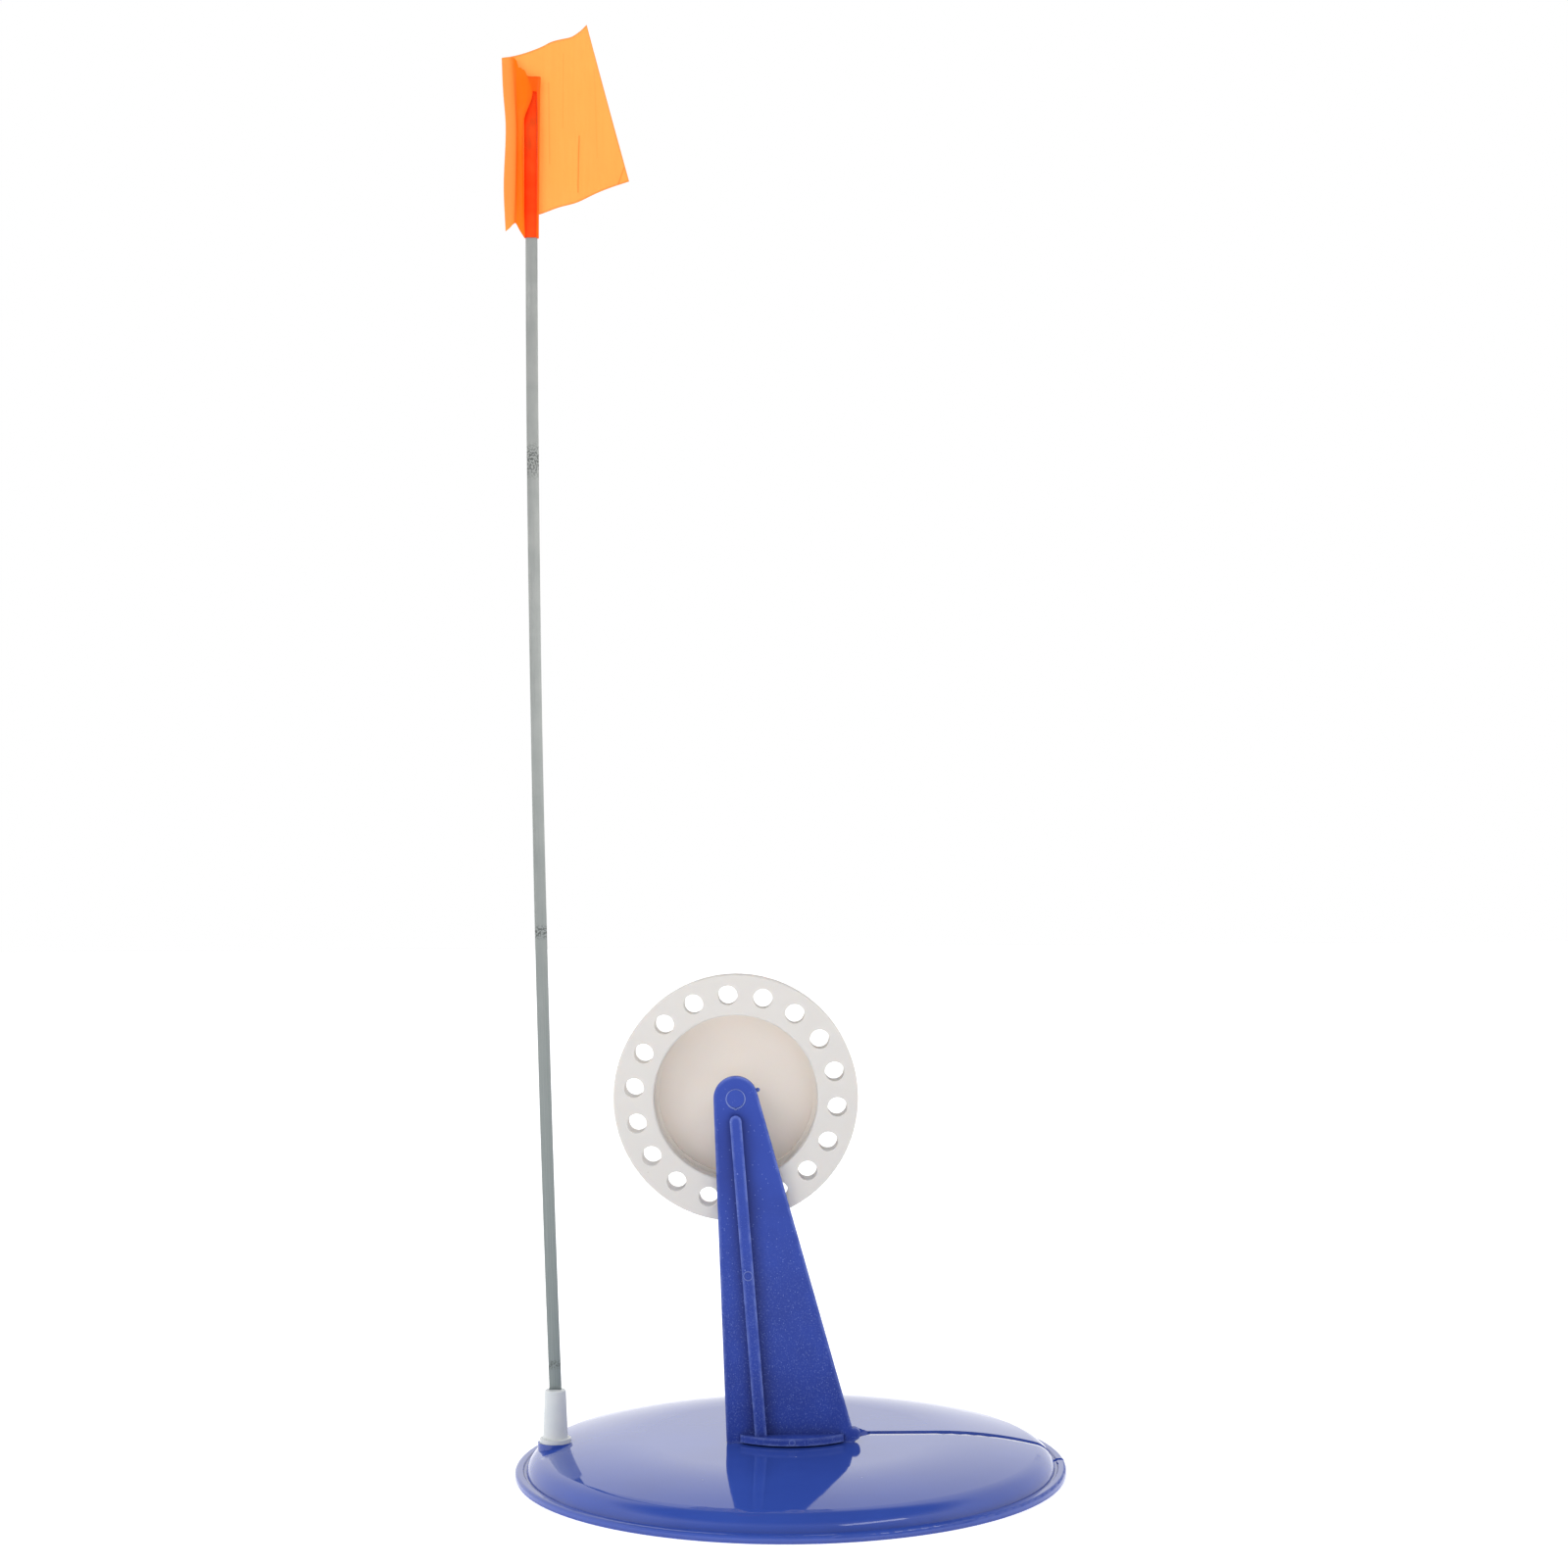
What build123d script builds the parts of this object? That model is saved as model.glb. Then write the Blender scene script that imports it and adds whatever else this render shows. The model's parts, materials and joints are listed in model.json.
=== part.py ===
from build123d import *
import os
from math import atan2, cos, degrees, hypot, radians, sin

# Ice fishing tip up: a round base that covers the hole, a plug-in stand with a line reel,
# and an orange flag on a spring strip. Millimetres, +Z up, the ice surface at Z = 0.
# The origin is the centre of the base on the ice. The line slot runs along +X, the front is -Y.

# ---------------------------------------------------------------- driving dimensions
base_r = 90.0            # outer radius of the base
base_top = 11.4          # height of the flat middle of the dome
plateau_r = 48.0         # radius of the flat middle
shoulder_in = 9.5        # distance in from the edge where the dome starts to roll down
shoulder_z = 7.6         # height there
base_wall = 2.0          # wall of the dome
rim_w = 3.6              # width of the rim ring outside the foot of the dome
rim_h = 2.5              # height of the rim ring
rim_step = 0.45          # steps at the foot of the dome and under the rim's edge
rim_round = 1.0          # rounding of the rim's outer edge
groove_w = 0.6           # groove between the dome and the rim ring
rim_foot_w = 5.2         # width of the face that rests on the ice

slot_w = 2.5             # line slot
well_left = -15.0        # opening behind the stand, where the line goes down
well_right = 22.5
well_front = -5.0
well_back = 7.5
well_corner = 3.5
funnel_l = 3.9           # length over which the opening narrows into the slot

rib_count = 8            # ribs under the base
rib_w = 1.6
rib_in_r = 31.0
rib_low = 2.6            # lowest point of the ribs above the ice

pad_in = 12.8            # seat of the flag socket, from the base's left edge
pad_r = 5.8
pad_top = 9.4
pad_low = 3.4

plate_t = 3.0            # stand plate
plate_front = -13.0      # Y of its front face
head_x = -17.2           # axle position
head_z = 122.3
head_r = 7.2
foot_left = -20.7        # ends of the plate's foot
foot_right = 20.9
foot_corner = 0.8
nub_r = 2.0              # rounded ear at the plate's right foot
nub_x = 20.5
nub_rise = 2.6
stand_rib_w = 3.8        # raised rib on the plate
stand_rib_h = 3.0
stand_rib_foot_x = -9.6
stand_rib_gap = 7.2      # from the axle to the centre of the rib's rounded top end
bow_x = 0.4              # bow-shaped foot flange
bow_chord = 33.4
bow_depth = 7.5
bow_t = 2.3
bow_lift = 0.6           # gap under the flange
bow_round = 1.0
tongue_x = -1.0          # tongue that plugs into the base
tongue_w = 30.0
tongue_t = 2.2
tongue_low = 3.0
collar_low = 5.4         # collar under the base around the tongue
collar_w = 1.8
barb = 0.9               # snap barbs at the tongue's ends
barb_h = 1.8
slit_w = 1.0             # slits that let the barbs spring
slit_in = 3.0
peg_r = 0.5              # small peg on the head's edge, with a ball end
peg_ball_r = 0.7
peg_rise = 2.7
peg_l = 0.9
mark_r = 1.5             # ejector marks
mark_h = 0.15
rib_mark_z = 65.5

reel_r = 40.0            # line reel
reel_w = 13.0
flange_t = 1.6
ring_w = 13.25           # width of the flange outside the recess
recess_round = 0.7
flange_round = 0.4
drum_wall = 1.5
hole_count = 18
hole_r = 3.2
hole_start = 14.3        # degrees
hub_r = 5.5
hub_set = 0.2            # hub face behind the front flange's face
register_h = 2.5         # ring that seats the front half on the rear half
register_w = 1.2

axle_r = 2.5
axle_head_lip = 0.4      # head past the shaft, all round
axle_head_h = 0.7
axle_head_edge = 0.3
spacer_r = 4.6
spacer_t = 0.5
retainer_r = 5.0
retainer_t = 0.8
retainer_slots = 6
retainer_slot_w = 0.8
retainer_slot_l = 1.2
axle_tail = 1.6          # axle past the retainer

socket_top_r = 3.5       # flag socket
socket_low_r = 4.1
socket_h = 17.0
socket_ring_r = 5.2
socket_ring_h = 1.3
socket_round = 0.5
socket_peg_r = 3.0
socket_snap = 0.3        # snap past the peg, all round
socket_snap_h = 1.6
socket_split = 1.0
socket_split_h = 5.0

strip_w = 4.0            # spring steel strip
strip_t = 0.5
strip_in = 13.0          # length held in the socket
strip_out = 1.7          # length from the socket's top to the first bending place
link_count = 15          # lengths of strip between bending places
link_l = 27.0
tip_l = 55.5             # last length
tip_round = 1.2
lean_low = 2.1           # degrees by which the strip leans to -X at its foot, none at its tip

film_low = 2.6           # foot of the flag film above the last bending place
sleeve_l = 54.6          # sleeve around the strip
sleeve_wall = 0.5
leaf_t = 0.6
leaf_right = 32.6        # far corner of the large leaf, sideways from the strip
leaf_left = 9.6          # edge of the small leaf
leaf_right_low = 22.4    # heights above the last bending place
leaf_right_top = 74.4
leaf_right_in = 18.8     # sideways place of the large leaf's top corner
leaf_foot = 10.9
leaf_left_top = 64.0
leaf_left_low = 5.2

# ---------------------------------------------------------------- clearances
running = 0.05           # radial, between a shaft and its hole
side_gap = 0.2           # axial, on each side of the reel
link_gap = 0.25          # between two lengths of the strip
tongue_gap = 0.1         # around the stand's tongue
barb_gap = 0.1           # under the collar
pocket_gap = 0.1         # around the strip in the film's sleeve
end_gap = 0.2            # under the socket's snap and past the strip's end
ring_room = 0.3          # around the socket's ring, where its seat is faced flat

# ---------------------------------------------------------------- places worked out
dome_foot_r = base_r - rim_w
shoulder_r = base_r - shoulder_in
pad_x = pad_in - base_r
groove_z = rim_h - rim_step
plate_back = plate_front + plate_t
plate_mid = plate_front + plate_t / 2
hub_front = plate_back + spacer_t + side_gap
reel_front_face = hub_front - hub_set
recess_r = reel_r - ring_w
hole_pitch_r = (recess_r + reel_r) / 2
reel_back_face = reel_front_face + reel_w
rear_flange_front = reel_back_face - flange_t
retainer_front = reel_back_face + side_gap
axle_back = retainer_front + retainer_t + axle_tail
socket_top = pad_top + socket_h
first_bend_z = socket_top + strip_out
axle_at = (head_x, head_z)

BLUE = Color(0.07, 0.13, 0.42)
PALE = Color(0.86, 0.84, 0.80)
STEEL = Color(0.66, 0.67, 0.66)
ORANGE = Color(1.0, 0.50, 0.12)

os.makedirs("parts", exist_ok=True)


def front_plane(y):
    """Plane that faces the front at a given Y, so that extrude goes towards -Y."""
    return Plane.XZ.offset(-y)


def save(piece, name, colour):
    """Label a finished piece and write it."""
    piece.part.label = name
    piece.part.color = colour
    export_step(piece.part, f"parts/{name}.step")


# ---------------------------------------------------------------- base
def dome_line(depth):
    """Draw the dome's section at a depth below its outer face, and return its last arc."""
    top = Line((0, base_top - depth), (plateau_r, base_top - depth))
    shoulder = TangentArc(top @ 1, (shoulder_r - depth / 4, shoulder_z - depth), tangent=top % 1)
    return TangentArc(shoulder @ 1, (dome_foot_r - depth, groove_z), tangent=shoulder % 1)


with BuildPart() as base_rib:
    with BuildSketch(Plane.XZ):
        with BuildLine():
            roll = dome_line(base_wall / 2)
            Polyline(roll @ 1, (dome_foot_r - rim_w, rib_low), (0, rib_low), (0, base_top - base_wall / 2))
        make_face()
    extrude(amount=rib_w / 2, both=True)
    with BuildSketch():
        Circle(rib_in_r + rib_w / 2)
    extrude(amount=base_top, mode=Mode.SUBTRACT)

with BuildPart() as base_disc:
    with BuildSketch(Plane.XZ):
        with BuildLine():
            roll = dome_line(0)
            groove = Polyline(
                roll @ 1,
                (dome_foot_r + groove_w, groove_z),
                (dome_foot_r + groove_w + rim_step, rim_h),
                (base_r - rim_round, rim_h),
            )
            bead = TangentArc(groove @ 1, (base_r, rim_h - rim_round), tangent=(1, 0))
            Polyline(
                bead @ 1,
                (base_r, 2 * rim_step),
                (base_r - rim_step, 2 * rim_step),
                (base_r - rim_step, 0),
                (base_r - rim_foot_w, 0),
                (base_r - rim_foot_w, groove_z),
                (dome_foot_r - base_wall, groove_z),
            )
            dome_line(base_wall)
            Line((0, base_top - base_wall), (0, base_top))
        make_face()
    revolve(axis=Axis.Z)
    with PolarLocations(0, rib_count, start_angle=180 / rib_count):
        add(base_rib.part)
    with BuildSketch(Plane.XY.offset(rib_low)):
        Circle(rib_in_r + rib_w)
        Circle(rib_in_r, mode=Mode.SUBTRACT)
    extrude(amount=base_top - base_wall / 2 - rib_low)
    # seat of the flag socket
    with BuildSketch(Plane.XY.offset(pad_low)):
        with Locations((pad_x, 0)):
            Circle(pad_r)
    extrude(amount=pad_top - pad_low)
    with BuildSketch(Plane.XY.offset(pad_top)):
        with Locations((pad_x, 0)):
            Circle(socket_ring_r + ring_room)
    extrude(amount=base_top - pad_top, mode=Mode.SUBTRACT)
    with BuildSketch():
        with Locations((pad_x, 0)):
            Circle(socket_peg_r + running)
    extrude(amount=base_top, mode=Mode.SUBTRACT)
    # collar and hole for the stand's tongue
    with BuildSketch(Plane.XY.offset(collar_low)):
        with Locations((tongue_x, plate_mid)):
            Rectangle(tongue_w + 2 * collar_w, tongue_t + 2 * collar_w)
    extrude(amount=base_top - base_wall / 2 - collar_low)
    with BuildSketch():
        with Locations((tongue_x, plate_mid)):
            Rectangle(tongue_w + 2 * tongue_gap, tongue_t + 2 * tongue_gap)
    extrude(amount=base_top, mode=Mode.SUBTRACT)
    # line opening, its funnel, and the slot out through the rim
    with BuildSketch() as line_way:
        Polygon(
            (well_left, well_front),
            (well_right, well_front),
            (well_right + funnel_l, -slot_w / 2),
            (base_r + rim_w, -slot_w / 2),
            (base_r + rim_w, slot_w / 2),
            (well_right + funnel_l, slot_w / 2),
            (well_right, well_back),
            (well_left, well_back),
            align=None,
        )
        fillet(line_way.vertices().group_by(Axis.X)[0], well_corner)
    extrude(amount=base_top, mode=Mode.SUBTRACT)

# ---------------------------------------------------------------- stand
rib_top_z = head_z - stand_rib_gap
rib_foot_z = base_top + bow_lift + bow_t
rib_run = hypot(stand_rib_foot_x - head_x, rib_top_z - rib_foot_z)
rib_turn = degrees(atan2(rib_top_z - rib_foot_z, head_x - stand_rib_foot_x))
rib_mid = ((head_x + stand_rib_foot_x) / 2, (rib_top_z + rib_foot_z) / 2)
mark_share = (rib_mark_z - rib_foot_z) / (rib_top_z - rib_foot_z)
rib_mark_x = stand_rib_foot_x + (head_x - stand_rib_foot_x) * mark_share

with BuildPart() as stand:
    with BuildSketch(front_plane(plate_back)) as plate:
        with Locations(axle_at):
            Circle(head_r)
        with Locations(((foot_left + foot_right) / 2, base_top + foot_corner)):
            RectangleRounded(foot_right - foot_left, 2 * foot_corner, foot_corner * 0.9)
        make_hull()
        with Locations((nub_x, base_top + nub_rise)):
            Circle(nub_r)
        with Locations(axle_at):
            Circle(axle_r, mode=Mode.SUBTRACT)
    extrude(amount=plate_t)
    with BuildSketch(front_plane(plate_front)):
        with Locations(rib_mid):
            SlotCenterToCenter(rib_run, stand_rib_w, rotation=rib_turn)
    extrude(amount=stand_rib_h)
    # bow-shaped flange that steadies the plate on the base
    with BuildSketch(Plane.XY.offset(base_top + bow_lift)) as bow:
        with BuildLine():
            Line((bow_x - bow_chord / 2, plate_mid), (bow_x + bow_chord / 2, plate_mid))
            Line((bow_x - bow_chord / 2, plate_mid), (bow_x - bow_chord / 2, plate_front - bow_round))
            Line((bow_x + bow_chord / 2, plate_mid), (bow_x + bow_chord / 2, plate_front - bow_round))
            ThreePointArc(
                (bow_x - bow_chord / 2, plate_front - bow_round),
                (bow_x, plate_front - bow_depth),
                (bow_x + bow_chord / 2, plate_front - bow_round),
            )
        make_face()
        fillet(bow.vertices().group_by(Axis.Y)[0], bow_round)
    extrude(amount=bow_t)
    # tongue with a snap barb at each end
    with BuildSketch(front_plane(plate_mid + tongue_t / 2)):
        with Locations((tongue_x, (base_top + tongue_low) / 2)):
            Rectangle(tongue_w, base_top - tongue_low)
        for side in (-1, 1):
            end = tongue_x + side * tongue_w / 2
            barb_top = collar_low - barb_gap
            Polygon(
                (end - side * barb, barb_top),
                (end + side * barb, barb_top),
                (end, barb_top - barb_h),
                (end - side * barb, barb_top - barb_h),
                align=None,
            )
            with Locations((end - side * slit_in, (base_top + tongue_low) / 2 - slit_w)):
                Rectangle(slit_w, base_top - tongue_low, mode=Mode.SUBTRACT)
    extrude(amount=tongue_t)
    # ejector marks on the rib and on the flange's front
    with BuildSketch(front_plane(plate_front - stand_rib_h)):
        with Locations((rib_mark_x, rib_mark_z)):
            Circle(mark_r)
            Circle(mark_r - mark_h, mode=Mode.SUBTRACT)
    extrude(amount=mark_h)
    with BuildSketch(front_plane(plate_front - bow_depth + 2 * mark_h)):
        with Locations((bow_x, base_top + bow_lift + bow_t / 2)):
            Circle(bow_t / 2 - mark_h)
    extrude(amount=3 * mark_h)
    # small ball-ended peg on the edge of the head
    with BuildSketch(Plane.YZ.offset(head_x + head_r - peg_l)):
        with Locations((plate_mid, head_z + peg_rise)):
            Circle(peg_r)
    extrude(amount=peg_l)
    with Locations((head_x + head_r, plate_mid, head_z + peg_rise)):
        Sphere(peg_ball_r)

# ---------------------------------------------------------------- axle and what sits on it
with BuildPart() as axle_pin:
    with BuildSketch(front_plane(axle_back)):
        with Locations(axle_at):
            Circle(axle_r)
    extrude(amount=axle_back - plate_front)
    chamfer(axle_pin.edges().sort_by(Axis.Y)[-1], axle_head_edge)
    with BuildSketch(front_plane(plate_front)):
        with Locations(axle_at):
            Circle(axle_r + axle_head_lip)
    extrude(amount=axle_head_h)
    fillet(axle_pin.edges().sort_by(Axis.Y)[0], axle_head_edge)

with BuildPart() as axle_spacer:
    with BuildSketch(front_plane(plate_back + spacer_t)):
        with Locations(axle_at):
            Circle(spacer_r)
            Circle(axle_r + running, mode=Mode.SUBTRACT)
    extrude(amount=spacer_t)

with BuildPart() as axle_retainer:
    with BuildSketch(front_plane(retainer_front + retainer_t)):
        with Locations(axle_at):
            Circle(retainer_r)
            with PolarLocations(axle_r + retainer_slot_l / 2, retainer_slots):
                Rectangle(retainer_slot_l * 2, retainer_slot_w, mode=Mode.SUBTRACT)
            Circle(axle_r, mode=Mode.SUBTRACT)
    extrude(amount=retainer_t)

# ---------------------------------------------------------------- reel, in two mouldings


def flange_holes():
    """Cut the ring of holes that both flanges share."""
    with PolarLocations(hole_pitch_r, hole_count, start_angle=hole_start):
        Circle(hole_r, mode=Mode.SUBTRACT)


with BuildPart() as reel_front:
    with BuildSketch(front_plane(reel_front_face + flange_t)):
        with Locations(axle_at):
            Circle(reel_r)
            flange_holes()
    extrude(amount=flange_t)
    with BuildSketch(front_plane(rear_flange_front)):
        with Locations(axle_at):
            Circle(recess_r + drum_wall)
    extrude(amount=rear_flange_front - reel_front_face)
    with BuildSketch(front_plane(rear_flange_front)):
        with Locations(axle_at):
            Circle(recess_r)
    extrude(amount=rear_flange_front - reel_front_face, mode=Mode.SUBTRACT)
    face_edges = reel_front.edges().filter_by(GeomType.CIRCLE).group_by(Axis.Y)[0].sort_by(SortBy.RADIUS)
    fillet(face_edges[-2], recess_round)
    fillet(reel_front.edges().filter_by(GeomType.CIRCLE).sort_by(SortBy.RADIUS)[-2:], flange_round)

with BuildPart() as reel_rear:
    with BuildSketch(front_plane(reel_back_face)):
        with Locations(axle_at):
            Circle(reel_r)
            flange_holes()
    extrude(amount=flange_t)
    fillet(reel_rear.edges().filter_by(GeomType.CIRCLE).sort_by(SortBy.RADIUS)[-2:], flange_round)
    with BuildSketch(front_plane(rear_flange_front)):
        with Locations(axle_at):
            Circle(recess_r)
            Circle(recess_r - register_w, mode=Mode.SUBTRACT)
    extrude(amount=register_h)
    with BuildSketch(front_plane(reel_back_face)):
        with Locations(axle_at):
            Circle(hub_r)
    extrude(amount=reel_back_face - hub_front)
    with BuildSketch(front_plane(reel_back_face)):
        with Locations(axle_at):
            Circle(axle_r + running)
    extrude(amount=reel_w, mode=Mode.SUBTRACT)

# ---------------------------------------------------------------- flag socket
with BuildPart() as flag_socket:
    with BuildSketch(Plane((pad_x, 0, 0), x_dir=(1, 0, 0), z_dir=(0, -1, 0))):
        with BuildLine():
            snap_top = pad_low - end_gap
            body = Polyline(
                (0, snap_top - socket_snap_h),
                (socket_peg_r - socket_round, snap_top - socket_snap_h),
                (socket_peg_r + socket_snap, snap_top),
                (socket_peg_r, snap_top),
                (socket_peg_r, pad_top),
                (socket_ring_r, pad_top),
                (socket_ring_r, pad_top + socket_ring_h),
                (socket_low_r, pad_top + socket_ring_h),
                (socket_top_r, socket_top - socket_round),
            )
            rounding = ThreePointArc(
                body @ 1,
                (socket_top_r - socket_round * 0.3, socket_top - socket_round * 0.3),
                (socket_top_r - socket_round, socket_top),
            )
            Polyline(rounding @ 1, (0, socket_top), (0, snap_top - socket_snap_h))
        make_face()
    revolve(axis=Axis((pad_x, 0, 0), (0, 0, 1)))
    with BuildSketch(Plane.XY.offset(socket_top)):
        with Locations((pad_x, 0)):
            Rectangle(strip_w, strip_t)
    extrude(amount=-strip_in, mode=Mode.SUBTRACT)
    with BuildSketch():
        with Locations((pad_x, 0)):
            Rectangle(socket_split, 4 * socket_peg_r)
    extrude(amount=socket_split_h, mode=Mode.SUBTRACT)

# ---------------------------------------------------------------- spring strip
with BuildPart() as strip_root:
    with BuildSketch(Plane.XY.offset(socket_top - strip_in)):
        with Locations((pad_x, 0)):
            Rectangle(strip_w, strip_t)
    extrude(amount=strip_in + strip_out - link_gap / 2)

bend = Vector(pad_x, 0, first_bend_z)
links = []
for number in range(1, link_count + 1):
    lean = radians(lean_low * max(0, 1 - (number - 0.5) / (link_count - 1)))
    along = Vector(-sin(lean), 0, cos(lean))
    last = number == link_count
    length = tip_l if last else link_l - link_gap / 2
    with BuildPart() as link:
        with BuildSketch(Plane(bend + along * (link_gap / 2), x_dir=(cos(lean), 0, sin(lean)), z_dir=along)):
            Rectangle(strip_w, strip_t)
        extrude(amount=length - link_gap / 2)
        if last:
            fillet(link.edges().filter_by(Axis.Y).group_by(Axis.Z)[-1], tip_round)
    links.append(link)
    print(f"bend {number}", [round(v / 1000, 6) for v in bend])
    if not last:
        bend = bend + along * link_l

# ---------------------------------------------------------------- flag film
film_foot = bend.Z + film_low
pocket_w = strip_w + 2 * pocket_gap
pocket_t = strip_t + 2 * pocket_gap
with BuildPart() as flag_film:
    with BuildSketch(Plane.XZ):
        Polygon(
            (bend.X - leaf_left, bend.Z + leaf_left_low),
            (bend.X, film_foot),
            (bend.X, bend.Z + leaf_foot),
            (bend.X + leaf_right, bend.Z + leaf_right_low),
            (bend.X + leaf_right_in, bend.Z + leaf_right_top),
            (bend.X - leaf_left, bend.Z + leaf_left_top),
            align=None,
        )
    extrude(amount=leaf_t / 2, both=True)
    with BuildSketch(Plane.XY.offset(film_foot)):
        with Locations((bend.X, 0)):
            Rectangle(pocket_w + 2 * sleeve_wall, pocket_t + 2 * sleeve_wall)
    extrude(amount=sleeve_l)
    with BuildSketch(Plane.XY.offset(film_foot)):
        with Locations((bend.X, 0)):
            Rectangle(pocket_w, pocket_t)
    extrude(amount=bend.Z + tip_l + end_gap - film_foot, mode=Mode.SUBTRACT)

# ---------------------------------------------------------------- written pieces
save(base_disc, "base_disc", BLUE)
save(stand, "stand", BLUE)
save(axle_pin, "axle_pin", BLUE)
save(axle_spacer, "axle_spacer", PALE)
save(axle_retainer, "axle_retainer", STEEL)
save(reel_front, "reel_front", PALE)
save(reel_rear, "reel_rear", PALE)
save(flag_socket, "flag_socket", PALE)
save(strip_root, "strip_root", STEEL)
for number, link in enumerate(links, start=1):
    save(link, f"strip_{number}", STEEL)
save(flag_film, "flag_film", ORANGE)
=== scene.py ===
"""Ice fishing tip up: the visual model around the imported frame, on a pale studio floor.

Metres, +Z up, the ice surface at Z = 0. The origin is the centre of the base, the line slot runs
along +X, and the front of the stand faces -Y.
"""

import json
import logging
import math
from dataclasses import dataclass, field
from enum import Enum
from typing import Iterable, Mapping, Sequence

import bpy
from mathutils import Matrix, Vector, noise

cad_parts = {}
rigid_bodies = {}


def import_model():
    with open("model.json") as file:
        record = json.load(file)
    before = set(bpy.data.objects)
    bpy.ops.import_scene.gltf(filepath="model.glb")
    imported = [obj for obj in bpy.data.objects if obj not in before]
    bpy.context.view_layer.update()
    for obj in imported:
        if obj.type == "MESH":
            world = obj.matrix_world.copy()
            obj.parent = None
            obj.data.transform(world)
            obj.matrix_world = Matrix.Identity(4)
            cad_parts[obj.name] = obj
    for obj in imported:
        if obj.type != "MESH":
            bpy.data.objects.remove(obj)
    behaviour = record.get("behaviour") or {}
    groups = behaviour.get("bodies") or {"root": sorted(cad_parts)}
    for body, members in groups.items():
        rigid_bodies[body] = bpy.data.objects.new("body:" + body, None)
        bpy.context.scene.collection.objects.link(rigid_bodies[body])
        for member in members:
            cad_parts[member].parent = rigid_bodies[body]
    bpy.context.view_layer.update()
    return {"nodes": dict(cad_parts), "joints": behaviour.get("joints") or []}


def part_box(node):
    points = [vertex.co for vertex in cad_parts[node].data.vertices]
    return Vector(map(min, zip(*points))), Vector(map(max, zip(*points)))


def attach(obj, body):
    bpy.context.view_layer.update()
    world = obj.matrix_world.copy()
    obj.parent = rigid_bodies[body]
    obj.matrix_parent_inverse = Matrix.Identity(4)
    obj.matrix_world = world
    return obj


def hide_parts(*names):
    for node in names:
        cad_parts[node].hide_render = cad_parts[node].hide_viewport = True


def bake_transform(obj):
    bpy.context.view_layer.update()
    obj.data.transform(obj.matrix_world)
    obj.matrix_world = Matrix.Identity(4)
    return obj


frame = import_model()
LOG = logging.getLogger("tip_up")
MM = 0.001

Colour = tuple[float, float, float]
Place = tuple[float, float, float]
Crease = tuple[float, float, float, float, float]
Wire = bpy.types.NodeSocket
Piece = bpy.types.Object


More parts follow.
